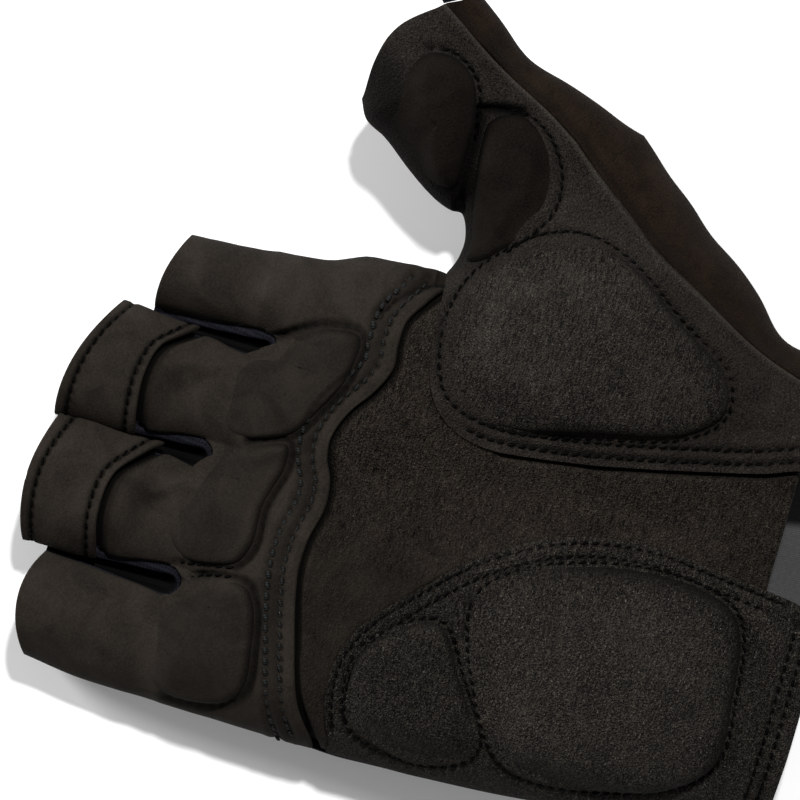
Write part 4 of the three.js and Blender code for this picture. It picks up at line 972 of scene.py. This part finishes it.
def sew(name, lines, thread, thick=1.0, slant=16):
    """Stitches along lines of points and normals: a strand for every pitch, turned a little
    from the run of its row, as a lock stitch lies."""
    template, faces, template_uv = stitch_template()
    centres, runs, ups = [], [], []
    for points, normals in lines:
        run = np.concatenate([[0], np.cumsum(np.linalg.norm(np.diff(points, axis=0), axis=1))])
        at = (np.arange(int(run[-1] / STITCH_PITCH)) + 0.5) * STITCH_PITCH
        pick = lambda values, at: np.column_stack([np.interp(at, run, column) for column in values.T])
        centres.append(pick(points, at))
        runs.append(pick(points, at + STITCH_LENGTH / 2) - pick(points, at - STITCH_LENGTH / 2))
        ups.append(pick(normals, at))
    centres, runs, ups = np.concatenate(centres), np.concatenate(runs), np.concatenate(ups)
    runs /= np.linalg.norm(runs, axis=1, keepdims=True)
    ups -= runs * (runs * ups).sum(1, keepdims=True)
    ups /= np.linalg.norm(ups, axis=1, keepdims=True)
    aside = np.cross(ups, runs)
    random = np.random.default_rng(17)
    turn = np.radians(slant + random.uniform(-7, 7, len(runs)))[:, None]
    forward = runs * np.cos(turn) + aside * np.sin(turn)
    aside = np.cross(ups, forward)
    size = random.uniform(0.9, 1.08, (len(runs), 1, 1))
    shape = (template[None, :, :1] * STITCH_LENGTH * forward[:, None]
             + template[None, :, 1:2] * THREAD_RADIUS * thick * aside[:, None]
             + template[None, :, 2:] * THREAD_RADIUS * ups[:, None]) * size
    points = (centres[:, None] + shape).reshape(-1, 3)
    index = (faces[None] + np.arange(len(runs))[:, None, None] * len(template)).reshape(-1, 4)
    piece = add_mesh(name, points, index, np.tile(template_uv, (len(runs), 1)))
    piece.data.materials.append(thread)
    return fit(piece, "palm_suede")


def drape(line, rows):
    """A plan line laid on the palm side, down in the groove that its row has pressed."""
    points, normals = surface(line[:, 0], line[:, 1])
    sink = stitched(line[:, 0], line[:, 1], rows)[0]
    return points + normals * sink[:, None], normals


def thread_material(name, dark, light, gloss):
    """Thread with a twist of light and dark ply along it."""
    material, tree, shader = cloth_material(name, 0.7, 0.0, gloss)
    place = add_node(tree, "ShaderNodeUVMap", uv_map="UVMap").outputs["UV"]
    twist = add_node(tree, "ShaderNodeSeparateXYZ", {"Vector": place})
    turns = maths(tree, "SINE", maths(tree, "MULTIPLY_ADD", twist.outputs["X"], 9.0, twist.outputs["Y"]))
    ply = maths(tree, "MULTIPLY_ADD", turns, 0.35, 0.55)
    tree.links.new(mixed(tree, ply, dark, light), shader.inputs["Base Color"])
    bump = add_node(tree, "ShaderNodeBump", {"Height": ply, "Distance": 0.0001, "Strength": 0.8})
    tree.links.new(bump.outputs["Normal"], shader.inputs["Normal"])
    return material


grey_thread = thread_material("grey_thread", linear(9, 9, 10), linear(40, 41, 41), 0.08)
black_thread = thread_material("black_thread", linear(1, 1, 1), linear(13, 12, 11), 0.04)

PAD_OUTLINES = {
    "heel_pad_small": [(0.7, -0.285), (0.655, -0.213), (0.59, -0.178), (0.54, -0.265), (0.482, -0.402),
                       (0.51, -0.445), (0.6, -0.46), (0.685, -0.42)],
    "heel_pad_large": [(0.545, -0.115), (0.495, -0.038), (0.35, 0.03), (0.21, 0.037), (0.14, -0.003),
                       (0.112, -0.168), (0.112, -0.3), (0.18, -0.375), (0.36, -0.43), (0.435, -0.412),
                       (0.487, -0.327)],
}


def pad_line(name):
    """Closed outline of a pad, run anticlockwise."""
    line = smooth_line(plan(PAD_OUTLINES[name]), closed=True)
    turn = (line[:-1, 0] * line[1:, 1] - line[1:, 0] * line[:-1, 1]).sum()
    return line if turn > 0 else line[::-1]


def round_pad(name, start=None, end=None, distance=-0.0008):
    """The row of stitches round a pad, or the part of it from near one place to near another,
    anticlockwise. The places are along and across."""
    line = beside(pad_line(name), distance)
    if start is None:
        return line
    first, last = (np.linalg.norm(line - plan([place]), axis=1).argmin() / (len(line) - 1)
                   for place in (start, end))
    return part_of(line, first, last if last > first else last + 1)


# A pad's crown as a share of its height, how far its soft side, its whole top and its root go
# down, and how near its edge the stitches press it
PAD_CROWN, PAD_SINK, PAD_DIP, PAD_ROOT, PAD_HEM = 0.12, 0.0002, 0.00005, 0.0005, 0.002
# How far in from the edge a darker top tone, and a painted highlight on the top, reach full strength
DARK_FADE, LIGHT_FADE = 0.003, 0.011
PAD_WAVE, PAD_WAVE_HEIGHT = 0.011, 0.00014
CREASE_WIDTH = 0.0013


def pad(name, height, shoulder, rows, material, soft, top_tone_and_highlight=0.0, dark=(0.7, 0.0009), creases=()):
    """A foam pad under suede. From the sewn edge its height rises as a quarter of an ellipse over
    the shoulder, and from there on it is nearly level, with a low crown in the middle. soft gives
    the plan direction in which the shoulder is wider, and how many times. top_tone_and_highlight
    darkens the tone of the top, or below 0 paints a highlight over its middle; dark gives the
    strength and width of the painted shade along the edge that is not soft, and creases are folds
    beside it that get painted shade."""
    outline = pad_line(name)
    centre = plan(PAD_OUTLINES[name]).mean(0)
    ring = np.linspace(0, 1, 44)[1:]
    ring = 1 - (1 - ring) ** 1.3
    sector = np.linspace(0, 1, 150, endpoint=False)
    at = centre + (on_line(outline, sector) - centre)[None] * ring[:, None, None]
    at = np.concatenate([centre[None], at.reshape(-1, 2)])
    x, y = at.T
    r = np.concatenate([[0], np.repeat(ring, len(sector))])
    base, normal = surface(x, y)
    inside = np.where(r == 1, 0, away(at, [outline]))
    out, way = at - centre, np.array(soft[:2])
    toward = (out @ way) / np.maximum(np.linalg.norm(out, axis=1) * math.hypot(*way), 1e-9)
    softly = smoothstep(toward, -0.3, 0.8) * min(1, soft[2])
    shoulder = shoulder * (1 + soft[2] * smoothstep(toward, -0.3, 0.9))
    level = rounded(inside / shoulder) ** 1.1
    level += (smoothstep(inside / shoulder, 0, 1) - level) * softly
    rise = height * level * (1 - PAD_CROWN * r ** 2)
    rise += waves(x, y, PAD_WAVE, PAD_WAVE_HEIGHT, len(name)) * level - PAD_SINK * softly * (1 - level)
    press = stitched(x, y, rows)[0]
    top = base + normal * (rise + np.minimum(press, 0) * (inside < PAD_HEM) - PAD_DIP)[:, None]
    under = base + normal * (np.where(r == 1, press, 0) - PAD_ROOT)[:, None]
    count = len(x)
    ids = 1 + np.arange(len(ring) * len(sector)).reshape(len(ring), len(sector))
    beside_ids = np.roll(ids, -1, axis=1)
    top_faces = np.stack([ids[:-1], ids[1:], beside_ids[1:], beside_ids[:-1]], axis=-1).reshape(-1, 4)
    hub = np.zeros(len(sector), int)
    first = np.stack([hub, ids[0], beside_ids[0], beside_ids[0]], axis=-1)
    last, after = ids[-1], beside_ids[-1]
    edge = np.stack([last, last + count, after + count, after], axis=-1)
    turned = np.concatenate([top_faces[:, ::-1], first[:, [0, 2, 1, 1]]]) + count
    # Painted shade along the edge that is not soft, the darker tone or painted highlight on the top, and
    # painted shade in the creases
    shade = dark[0] * bell(inside, dark[1]) * (1 - softly)
    shade += top_tone_and_highlight * smoothstep(inside, 0, DARK_FADE if top_tone_and_highlight > 0 else LIGHT_FADE)
    for line in creases:
        shade = np.maximum(shade, bell(away(at, [line]), CREASE_WIDTH))
    piece = add_mesh(name + "_foam", np.concatenate([top, under]),
                     np.concatenate([top_faces, first, turned, edge]), np.tile(at, (2, 1)) * 100,
                     {"shade": np.concatenate([shade, shade])})
    piece.data.materials.append(material)
    fit(piece, "pad_suede", name)
    return piece


CUFF_ROWS = (0.003, 0.0053)
cuff_x = np.linspace(little_x(np.array(0.003)) + 0.002, across_to_x(0.02), 90)
heel_rows = [part_of(beside(heel_edge, -0.0012), 0.02, 0.93), part_of(beside(heel_edge, -0.0036), 0.03, 0.9),
             round_pad("heel_pad_small"), round_pad("heel_pad_large")]
heel_rows += [np.column_stack([cuff_x, row_y + 0 * cuff_x]) for row_y in CUFF_ROWS]
HEEL_SHADE = 0.28
heel_t = np.linspace(0, 1, 170)
edge_points = on_line(heel_edge, heel_t)
side_y = (along_to_y(HEEL_EDGE[0][0]) + SEAM_GAP) * (1 - heel_t)
side_points = np.column_stack([little_x(side_y), side_y])
fan = 1 - np.cos(np.linspace(0, 1, 110) * math.pi / 2)
at = side_points[:, None] + (edge_points - side_points)[:, None] * fan[:, None]
points, normals = surface(at[..., 0], at[..., 1])
hold_rim(points, normals, 0)
press, shade = stitched(at[..., 0], at[..., 1], heel_rows)
points += normals * (press + worn(at, 0.014, 0.0002, 13) * over_side_seam(points))[..., None]
# The stitches' painted shade stays, the painted highlights between them are cut to a fifth, and the panel is
# darker from half the palm's length on
shade = np.maximum(shade, 0.2 * np.minimum(shade, 0)
                   + HEEL_SHADE * smoothstep(at[..., 1], 0.5 * PALM_LENGTH, 0.6 * PALM_LENGTH))
heel_panel = shell("heel_suede", points, normals, marks={"shade": shade})
fit(heel_panel, "palm_suede", "heel_panel")
heel_grain = suede_material(
    "heel_grain", linear(35.5, 33.3, 30.5), linear(142, 135, 126),
    cloud_size=80.0, grain_size=2900.0, contrast=5.6, sparkle=0.6, bump=0.0003,
    streak=(-75, 1.4, 0.42, 5.2), cloudy=2.2)
heel_panel.data.materials.append(heel_grain)
pad("heel_pad_small", 0.0024, 0.0035, heel_rows, heel_grain, soft=(-1, 0, 1.0), top_tone_and_highlight=0.3)
pad("heel_pad_large", 0.0033, 0.0032, heel_rows, heel_grain, soft=(-0.5, 1, 1.2), top_tone_and_highlight=-0.02,
    dark=(1.0, 0.0022))
sew("heel_stitches", [drape(row, heel_rows) for row in heel_rows], black_thread)


# Thumb and ball of the thumb: one panel of suede from the thumb's hem to the cuff. It laps over
# the palm, and carries a large pad, a small one near the thumb's tip, and a patch at the crotch.
PAD_OUTLINES["thenar_pad"] = [
    (0.708, 0.4), (0.675, 0.275), (0.59, 0.243), (0.43, 0.28), (0.3, 0.327), (0.25, 0.39), (0.265, 0.462),
    (0.36, 0.572), (0.455, 0.715), (0.53, 0.766), (0.6, 0.728), (0.69, 0.53)]
PAD_OUTLINES["thumb_tip_pad"] = [
    (0.888, 1.09), (0.862, 1.225), (0.818, 1.25), (0.775, 1.19), (0.757, 1.07), (0.754, 0.94),
    (0.758, 0.82), (0.79, 0.812), (0.825, 0.85), (0.874, 0.955)]
PAD_OUTLINES["thumb_web_patch"] = [
    (0.732, 1.07), (0.69, 1.118), (0.641, 1.07), (0.607, 0.96), (0.602, 0.84), (0.62, 0.755),
    (0.657, 0.655), (0.688, 0.588), (0.705, 0.58), (0.707, 0.66), (0.722, 0.79), (0.734, 0.95)]
thenar_rows = [round_pad("thenar_pad"), part_of(beside(thenar_edge, 0.0017), 0.3, 0.985),
               part_of(beside(thenar_edge, 0.0042), 0.33, 0.98),
               round_pad("thumb_tip_pad", (0.757, 1.0), (0.85, 1.235)),
               round_pad("thumb_web_patch", (0.66, 0.65), (0.715, 1.09))]
HEM_FADE = 0.6
row_t = np.concatenate([thumb_t, 1 + wrist_t])
inset = SEAM_GAP / 8 / np.linalg.norm(row_seam - row_inner, axis=1, keepdims=True)
fan = (1 - np.cos(np.linspace(0, 1, 96) * math.pi / 2))[None, :] * (1 - inset)
at = row_inner[:, None] + (row_seam - row_inner)[:, None] * fan[..., None]
bow = on_line(thumb_hem, fan) - (row_inner[0] + (row_seam[0] - row_inner[0]) * fan[..., None])
at = at + bow * (1 - smoothstep(row_t, 0, HEM_FADE))[:, None, None]
points, normals = surface(at[..., 0], at[..., 1])
hold_rim(points, normals, 0, slice(0, THUMB_STEPS))
press, shade = stitched(at[..., 0], at[..., 1], thenar_rows)
# The cord beside the seam stands up with a painted highlight on it, and a dip lies beyond it
CORD_HEIGHT, CORD_WIDTH, CORD_PLACE, CORD_HIGHLIGHT = 0.0006, 0.00035, 0.0005, -0.13
ridge = away(at, [row_seam])
over_seam = over_side_seam(points)
cord = bell(ridge, CORD_WIDTH, CORD_PLACE)
uneven = worn(at, 0.014, 0.00022, 15) * over_seam + CORD_HEIGHT * cord
uneven -= SEAM_DIP * bell(ridge, 0.0009, 0.0021)
points += normals * (press + uneven)[..., None]
THUMB_CREASES = [[(0.741, 0.74), (0.745, 0.82), (0.747, 0.9), (0.748, 0.97), (0.75, 1.04), (0.7505, 1.1)],
                 [(0.7505, 1.1), (0.72, 1.122), (0.687, 1.133)]]
CREASE_DEPTH, CREASE_CORE = 0.0022, 0.0009
SIDE_SHADE = 0.8
thumb_creases = [smooth_line(plan(rows), count=60) for rows in THUMB_CREASES]
crease = away(at, thumb_creases)
tucked = away(at, [on_line(thumb_inner, np.linspace(0, 0.75, 80))])
points -= normals * (CREASE_DEPTH * bell(crease, CREASE_CORE) * over_seam)[..., None]
# Painted shade in the thumb's creases, and along its inner side from the hem
shade = np.maximum(shade, bell(crease, CREASE_WIDTH))
shade = np.maximum(shade, SIDE_SHADE * (1 - smoothstep(tucked, 0.005, 0.013)))
thenar_panel = shell("thenar_suede", points, normals, marks={"shade": shade + CORD_HIGHLIGHT * cord},
                     nose=SEAM_NOSE)
fit(thenar_panel, "palm_suede", "thenar_panel")
thumb_suede = suede_material(
    "thumb_suede", linear(34, 31.2, 28.8), linear(112, 105, 97),
    cloud_size=110.0, grain_size=2800.0, contrast=2.8, sparkle=0.3, bump=0.0002)
thumb_grain = suede_material(
    "thumb_grain", linear(35.5, 33, 30.3), linear(134, 127, 118),
    cloud_size=90.0, grain_size=2900.0, contrast=3.8, sparkle=0.45, bump=0.00025,
    streak=(-48, 2.0, 0.42, 4.6), cloudy=2.0)
dark_suede = suede_material(
    "dark_suede", linear(23, 20, 17.5), linear(60, 54, 48),
    cloud_size=140.0, grain_size=2400.0, contrast=1.3, sparkle=0.15, bump=0.00012)
thenar_panel.data.materials.append(thumb_suede)
pad("thenar_pad", 0.003, 0.004, thenar_rows, thumb_grain, soft=(0.2, 1, 1.8), top_tone_and_highlight=-0.015,
    dark=(0.8, 0.0013))
pad("thumb_tip_pad", 0.0026, 0.004, thenar_rows, dark_suede, soft=(-0.5, 1, 1.2),
    creases=thumb_creases)
pad("thumb_web_patch", 0.0018, 0.0028, thenar_rows, dark_suede, soft=(0, -1, 1.5),
    creases=thumb_creases)
sew("thenar_stitches", [drape(row, thenar_rows) for row in thenar_rows], black_thread)


# Palm side of the fingers: one panel of smooth suede with the fronts of the four stalls and a wavy
# band that laps over the palm with two rows of stitches. Three low pads lie below the stalls.
PAD_OUTLINES["knuckle_pad_index"] = [
    (1.09, 0.215), (0.965, 0.277), (0.885, 0.335), (0.836, 0.335), (0.838, 0.25), (0.866, 0.175),
    (0.9, 0.11), (0.962, 0.078), (1.03, 0.09), (1.105, 0.15)]
PAD_OUTLINES["knuckle_pad_ring"] = [
    (1.02, 0.03), (0.958, 0.06), (0.9, 0.085), (0.894, 0.045), (0.91, -0.047), (0.912, -0.133),
    (0.93, -0.175), (1.03, -0.193), (1.14, -0.155), (1.175, -0.055), (1.11, 0)]
PAD_OUTLINES["knuckle_pad_little"] = [
    (1.08, -0.29), (0.977, -0.228), (0.905, -0.213), (0.882, -0.245), (0.865, -0.338), (0.862, -0.415),
    (0.89, -0.455), (0.979, -0.468), (1.045, -0.44), (1.12, -0.345)]
band_rows = [part_of(beside(knuckle_edge, 0.0028), 0.03, 0.95),
             part_of(beside(knuckle_edge, 0.0055), 0.03, 0.93)]
shaded_channel_rows = [round_pad(name, start, end, -0.0009) for name, start, end in (
    ("knuckle_pad_index", (0.9, 0.11), (0.965, 0.277)),
    ("knuckle_pad_ring", (0.93, -0.175), (0.958, 0.06)),
    ("knuckle_pad_little", (0.979, -0.468), (0.977, -0.228)))]
side_rows = [smooth_line(plan(rows), count=40) for rows in (
    [(1.062, -0.207), (0.985, -0.198), (0.918, -0.182)], [(1.035, -0.245), (0.97, -0.215), (0.912, -0.2)])]
finger_rows = band_rows + shaded_channel_rows + side_rows
TAB_EDGES = {
    "ring": (1, [(0, 1.5), (0.1, 1.52), (0.36, 1.557), (0.67, 1.53), (0.88, 1.39), (1, 1.27)]),
    "middle": (2, [(0, 1.485), (0.25, 1.515), (0.5, 1.525), (0.74, 1.48), (0.88, 1.37), (1, 1.265)]),
}


def past_tab(x, y, finger, rows):
    """How far plan points lie below a tab's free edge, towards the palm, and 1 on its finger."""
    low, high = stall_sides(finger, y)
    share = (x - low) / (high - low)
    return along_to_y(smooth_table(rows)(share)) - y, (share >= 0) & (share <= 1)


# Folds: height, along, across, half size along and across, turn in degrees
FOLDS = [(-0.0013, 1.2, 0.17, 0.026, 0.02, 35), (0.0006, 1.14, 0.2, 0.045, 0.012, 40),
         (0.0004, 1.3, 0.19, 0.03, 0.014, 20), (-0.0011, 1.3, -0.1, 0.026, 0.02, 30),
         (0.0006, 1.24, -0.07, 0.045, 0.013, 40), (0.0006, 1.0, 0.365, 0.016, 0.035, 10),
         (0.0006, 1.08, 0.42, 0.03, 0.012, -30), (-0.0005, 1.03, 0.4, 0.02, 0.03, -10),
         (0.0005, 0.965, 0.436, 0.02, 0.02, 0), (0.0005, 1.3, 0.36, 0.03, 0.05, 20),
         (-0.0004, 1.42, -0.4, 0.03, 0.05, -20), (0.0004, 1.2, -0.42, 0.02, 0.06, 10),
         (-0.0004, 1.25, -0.37, 0.02, 0.05, 12)]
# Marks on the panel: the band darkened between its rows, painted shade in the channels round the
# pads, what the tabs press down and leave puffed out, and the groove where the band bends into the
# crotch of the thumb, which gets painted shade
BAND_SHADE, CHANNEL_SHADE, NOOK_SHADE = 0.42, 0.75, 0.8
CHANNEL_DEPTH, PUFF_OUT, TUCK_UNDER, NOOK_DEPTH, CROTCH_TUCK = 0.0004, 0.0009, 0.0007, 0.0008, 0.0013
NOOK = [(0.817, 0.398), (0.793, 0.439), (0.759, 0.473), (0.725, 0.5)]
points, normals, filled = comb(lambda x: along_to_y(knuckle_share(x / PALM_WIDTH)),
                               np.concatenate([np.linspace(0, 0.3, 36), np.linspace(0.3, 1, 60)[1:]]),
                               np.linspace(0, 1, 110), 1, index_x)
x, y = points[..., 0], points[..., 1]
press, shade = stitched(x, y, finger_rows)
uneven = worn(points, 0.014, 0.00025, 21) + relief(x, y, FOLDS)
overlock = away(points, [part_of(beside(knuckle_edge, 0.0044), 0.03, 0.94)])
channel = away(points, shaded_channel_rows)
# The band darkened between its rows, and painted shade in the channels round the pads
shade = np.maximum(shade, BAND_SHADE * bell(overlock, 0.0016))
shade = np.maximum(shade, CHANNEL_SHADE * bell(channel, 0.0009))
uneven -= CHANNEL_DEPTH * bell(channel, 0.0008)
for finger, rows in TAB_EDGES.values():
    out, on_finger = past_tab(x, y, finger, rows)
    puff = PUFF_OUT * smoothstep(out, 0.0009, 0.0024) * (1 - smoothstep(out, 0.003, 0.011))
    uneven = uneven + on_finger * (puff - TUCK_UNDER * (1 - smoothstep(out, -0.0004, 0.0006)))
    # Painted shade in the slit at the tab's free edge
    shade = np.maximum(shade, on_finger * (1 - smoothstep(out, 0.0008, 0.0015)))
nook = away(points, [smooth_line(plan(NOOK), count=40)])
tuck = smoothstep(x, 0.044, 0.0475) * (y < crotch[1] + 0.0015)
uneven = uneven - NOOK_DEPTH * bell(nook, 0.0011) - CROTCH_TUCK * tuck
shade = np.maximum(shade, NOOK_SHADE * bell(nook, 0.0008))
points = points + normals * (press + uneven * over_side_seam(points))[..., None]
finger_panel = shell("finger_suede", points, normals, filled=filled, marks={"shade": shade})
fit(finger_panel, "palm_suede", "finger_panel")
smooth_suede = suede_material(
    "smooth_suede", linear(38, 34.4, 31), linear(82, 76, 70),
    cloud_size=110.0, grain_size=2200.0, contrast=0.9, sparkle=0.15, bump=0.0001)
finger_panel.data.materials.append(smooth_suede)
for name in ("knuckle_pad_index", "knuckle_pad_ring", "knuckle_pad_little"):
    pad(name, 0.0014, 0.002, finger_rows, smooth_suede, soft=(0.3, 1, 3.5), top_tone_and_highlight=0.34)
sew("finger_stitches", [drape(band_rows[0], finger_rows)], grey_thread)
sew("finger_inner_stitches", [drape(band_rows[1], finger_rows)], grey_thread, thick=1.6)
sew("finger_side_stitches", [drape(row, finger_rows) for row in side_rows], black_thread)


# Gussets: strips of black knit between the stalls, down one stall, round the crotch and up the
# next. Most of a strip is painted nearly black as shade; only a roll along the higher finger is left
# lighter, where it catches light.
GUSSET_GAP, GUSSET_CLOTH = 0.0004, 0.001
HOLLOW_DEPTH, ROLL_HEIGHT = 0.002, 0.0009
for slot, name in enumerate(("ring_little", "middle_ring", "index_middle")):
    centre, root = across_to_x(SLOTS[slot][0]), along_to_y(SLOTS[slot][1])
    rows = []
    for finger, way in ((slot, -1), (slot + 1, 1)):
        end = hem_y(finger, HEM_ANGLE if way < 0 else math.pi - HEM_ANGLE)
        y = np.linspace(end, root, 60)
        half = np.diff(stall_sides(finger, y), axis=0)[0] / 2
        turn = HEM_ANGLE + (GUSSET_ANGLE - HEM_ANGLE) * np.linspace(0, 1, 60)
        rows.append((np.column_stack([centre + way * slot_gap(slot, y) / 2, y]),
                     np.tile([way, 0.0], (60, 1)), half, turn, np.full(60, max(0, way))))
    _, into, half = crotch_edge(slot, WEB_TURNS)
    turned = (np.array([centre, root]) + into * slot_gap(slot, root) / 2, into, half,
              np.full(len(half), GUSSET_ANGLE), smoothstep(WEB_TURNS, 0, 1))
    up = [values[::-1] for values in rows[1]]
    at, into, half, turn, high_side = (np.concatenate(group) for group in zip(rows[0], turned, up))
    sewn = at + into * (half * (1 - np.cos(turn)))[:, None]
    rise = height_share(sewn[:, 0], sewn[:, 1]) / np.sin(turn)
    strip = np.linspace(-1, 1, 30)[None]
    angle = strip * (turn - GUSSET_GAP / half)[:, None]
    depth = np.where(angle < 0, under_z(at[:, 0], at[:, 1])[:, None], crown_z(at[:, 0], at[:, 1])[:, None])
    level = at[:, None] + into[:, None] * (half[:, None] * (1 - np.cos(angle)))[..., None]
    z = seam_z(at[:, 0], at[:, 1])[:, None] + rise[:, None] * depth * np.sin(angle)
    points = np.concatenate([level, z[..., None]], axis=-1)
    normals = np.concatenate([-into[:, None] * np.cos(angle)[..., None], np.sin(angle)[..., None]], axis=-1)
    # The strip bulges until its two sides nearly touch on a winding line, which hides the floor.
    # Above that it is a hollow with painted shade, with a roll along the higher finger.
    gap = slot_gap(slot, at[:, 1])[:, None]
    at_hem = smoothstep(np.minimum(np.arange(len(at)), np.arange(len(at))[::-1]), 0, 8)[:, None]
    side = 1 - 2 * high_side[:, None]
    shut = gap * (0.495 + 0.32 * side * np.sin(strip * math.pi)) * (1 - strip ** 6)
    hollow = smoothstep(strip, 0.2, 0.5) * (1 - smoothstep(strip, 0.85, 1)) * (1 - high_side[:, None])
    shut = shut - HOLLOW_DEPTH * hollow * at_hem
    roll = ROLL_HEIGHT * high_side[:, None] * bell(strip, 0.12, 0.85) * (1 - smoothstep(strip, 0.97, 1.02))
    points += normals * (shut + roll * (0.4 + 0.6 * at_hem))[..., None]
    # Painted shade over the strip, except on the roll along the higher finger and the rim of the lower one
    lit = high_side[:, None] * smoothstep(strip, 0.66, 0.86)
    lit = lit + (1 - high_side[:, None]) * smoothstep(strip, 0.93, 1)
    gusset = shell("gusset_" + name + "_knit", points, normals, GUSSET_CLOTH, marks={"shade": 1 - lit})
    fit(gusset, "stretch_cloth", "gusset_" + name)
    gusset.data.materials.append(black_knit)


# Pull tabs: bands of the same suede across the ends of the middle and ring stalls. A tab is sewn
# down at the hem, with a row of stitches there and one inside the free edge.
TAB_GAP, TAB_LIFT, TAB_GROOVE, TAB_SINK, TAB_SHADE = 0.0004, 0.0009, 0.0003, 0.0002, 0.8
TAB_ROWS = np.array([0.13, 0.86])
for name, (finger, edge_rows) in TAB_EDGES.items():
    free_edge = smooth_table(edge_rows)

    def tab_at(share, finger=finger, free_edge=free_edge):
        """Points of the tab at shares of the way from the free edge to the hem."""
        angle = stall_angles(finger, 0.55 + 0.45 * share, 80)
        across = (1 + np.cos(angle)) / 2
        free = along_to_y(free_edge(across))
        y = free + (hem_y(finger, angle) - free) * share[:, None]
        sides = stall_sides(finger, y)
        x = (sides[0] + sides[1]) / 2 + (sides[1] - sides[0]) / 2 * np.cos(angle)
        points, normals = surface(x, y)
        lift = TAB_GAP + CLOTH + TAB_LIFT * (1 - share[:, None]) ** 3 * np.sin(angle)
        return points + normals * lift[..., None], normals

    share = np.linspace(0, 1, 70)
    points, normals = tab_at(share)
    # Painted shade in the grooves of the two rows of stitches
    groove = bell(share[:, None], 0.035, TAB_ROWS).sum(1)
    points += normals * (waves(points[..., 0], points[..., 1], 0.012, 0.0002, finger)
                         - TAB_GROOVE * groove[:, None])[..., None]
    tab = shell("pull_tab_" + name + "_suede", points, normals,
                marks={"shade": np.broadcast_to(groove[:, None] * TAB_SHADE, points.shape[:2])})
    fit(tab, "palm_suede", "pull_tab_" + name)
    tab.data.materials.append(smooth_suede)
    sew("pull_tab_" + name + "_stitches",
        [(row[2:-2] - up[2:-2] * TAB_SINK, up[2:-2]) for row, up in zip(*tab_at(TAB_ROWS))], black_thread)
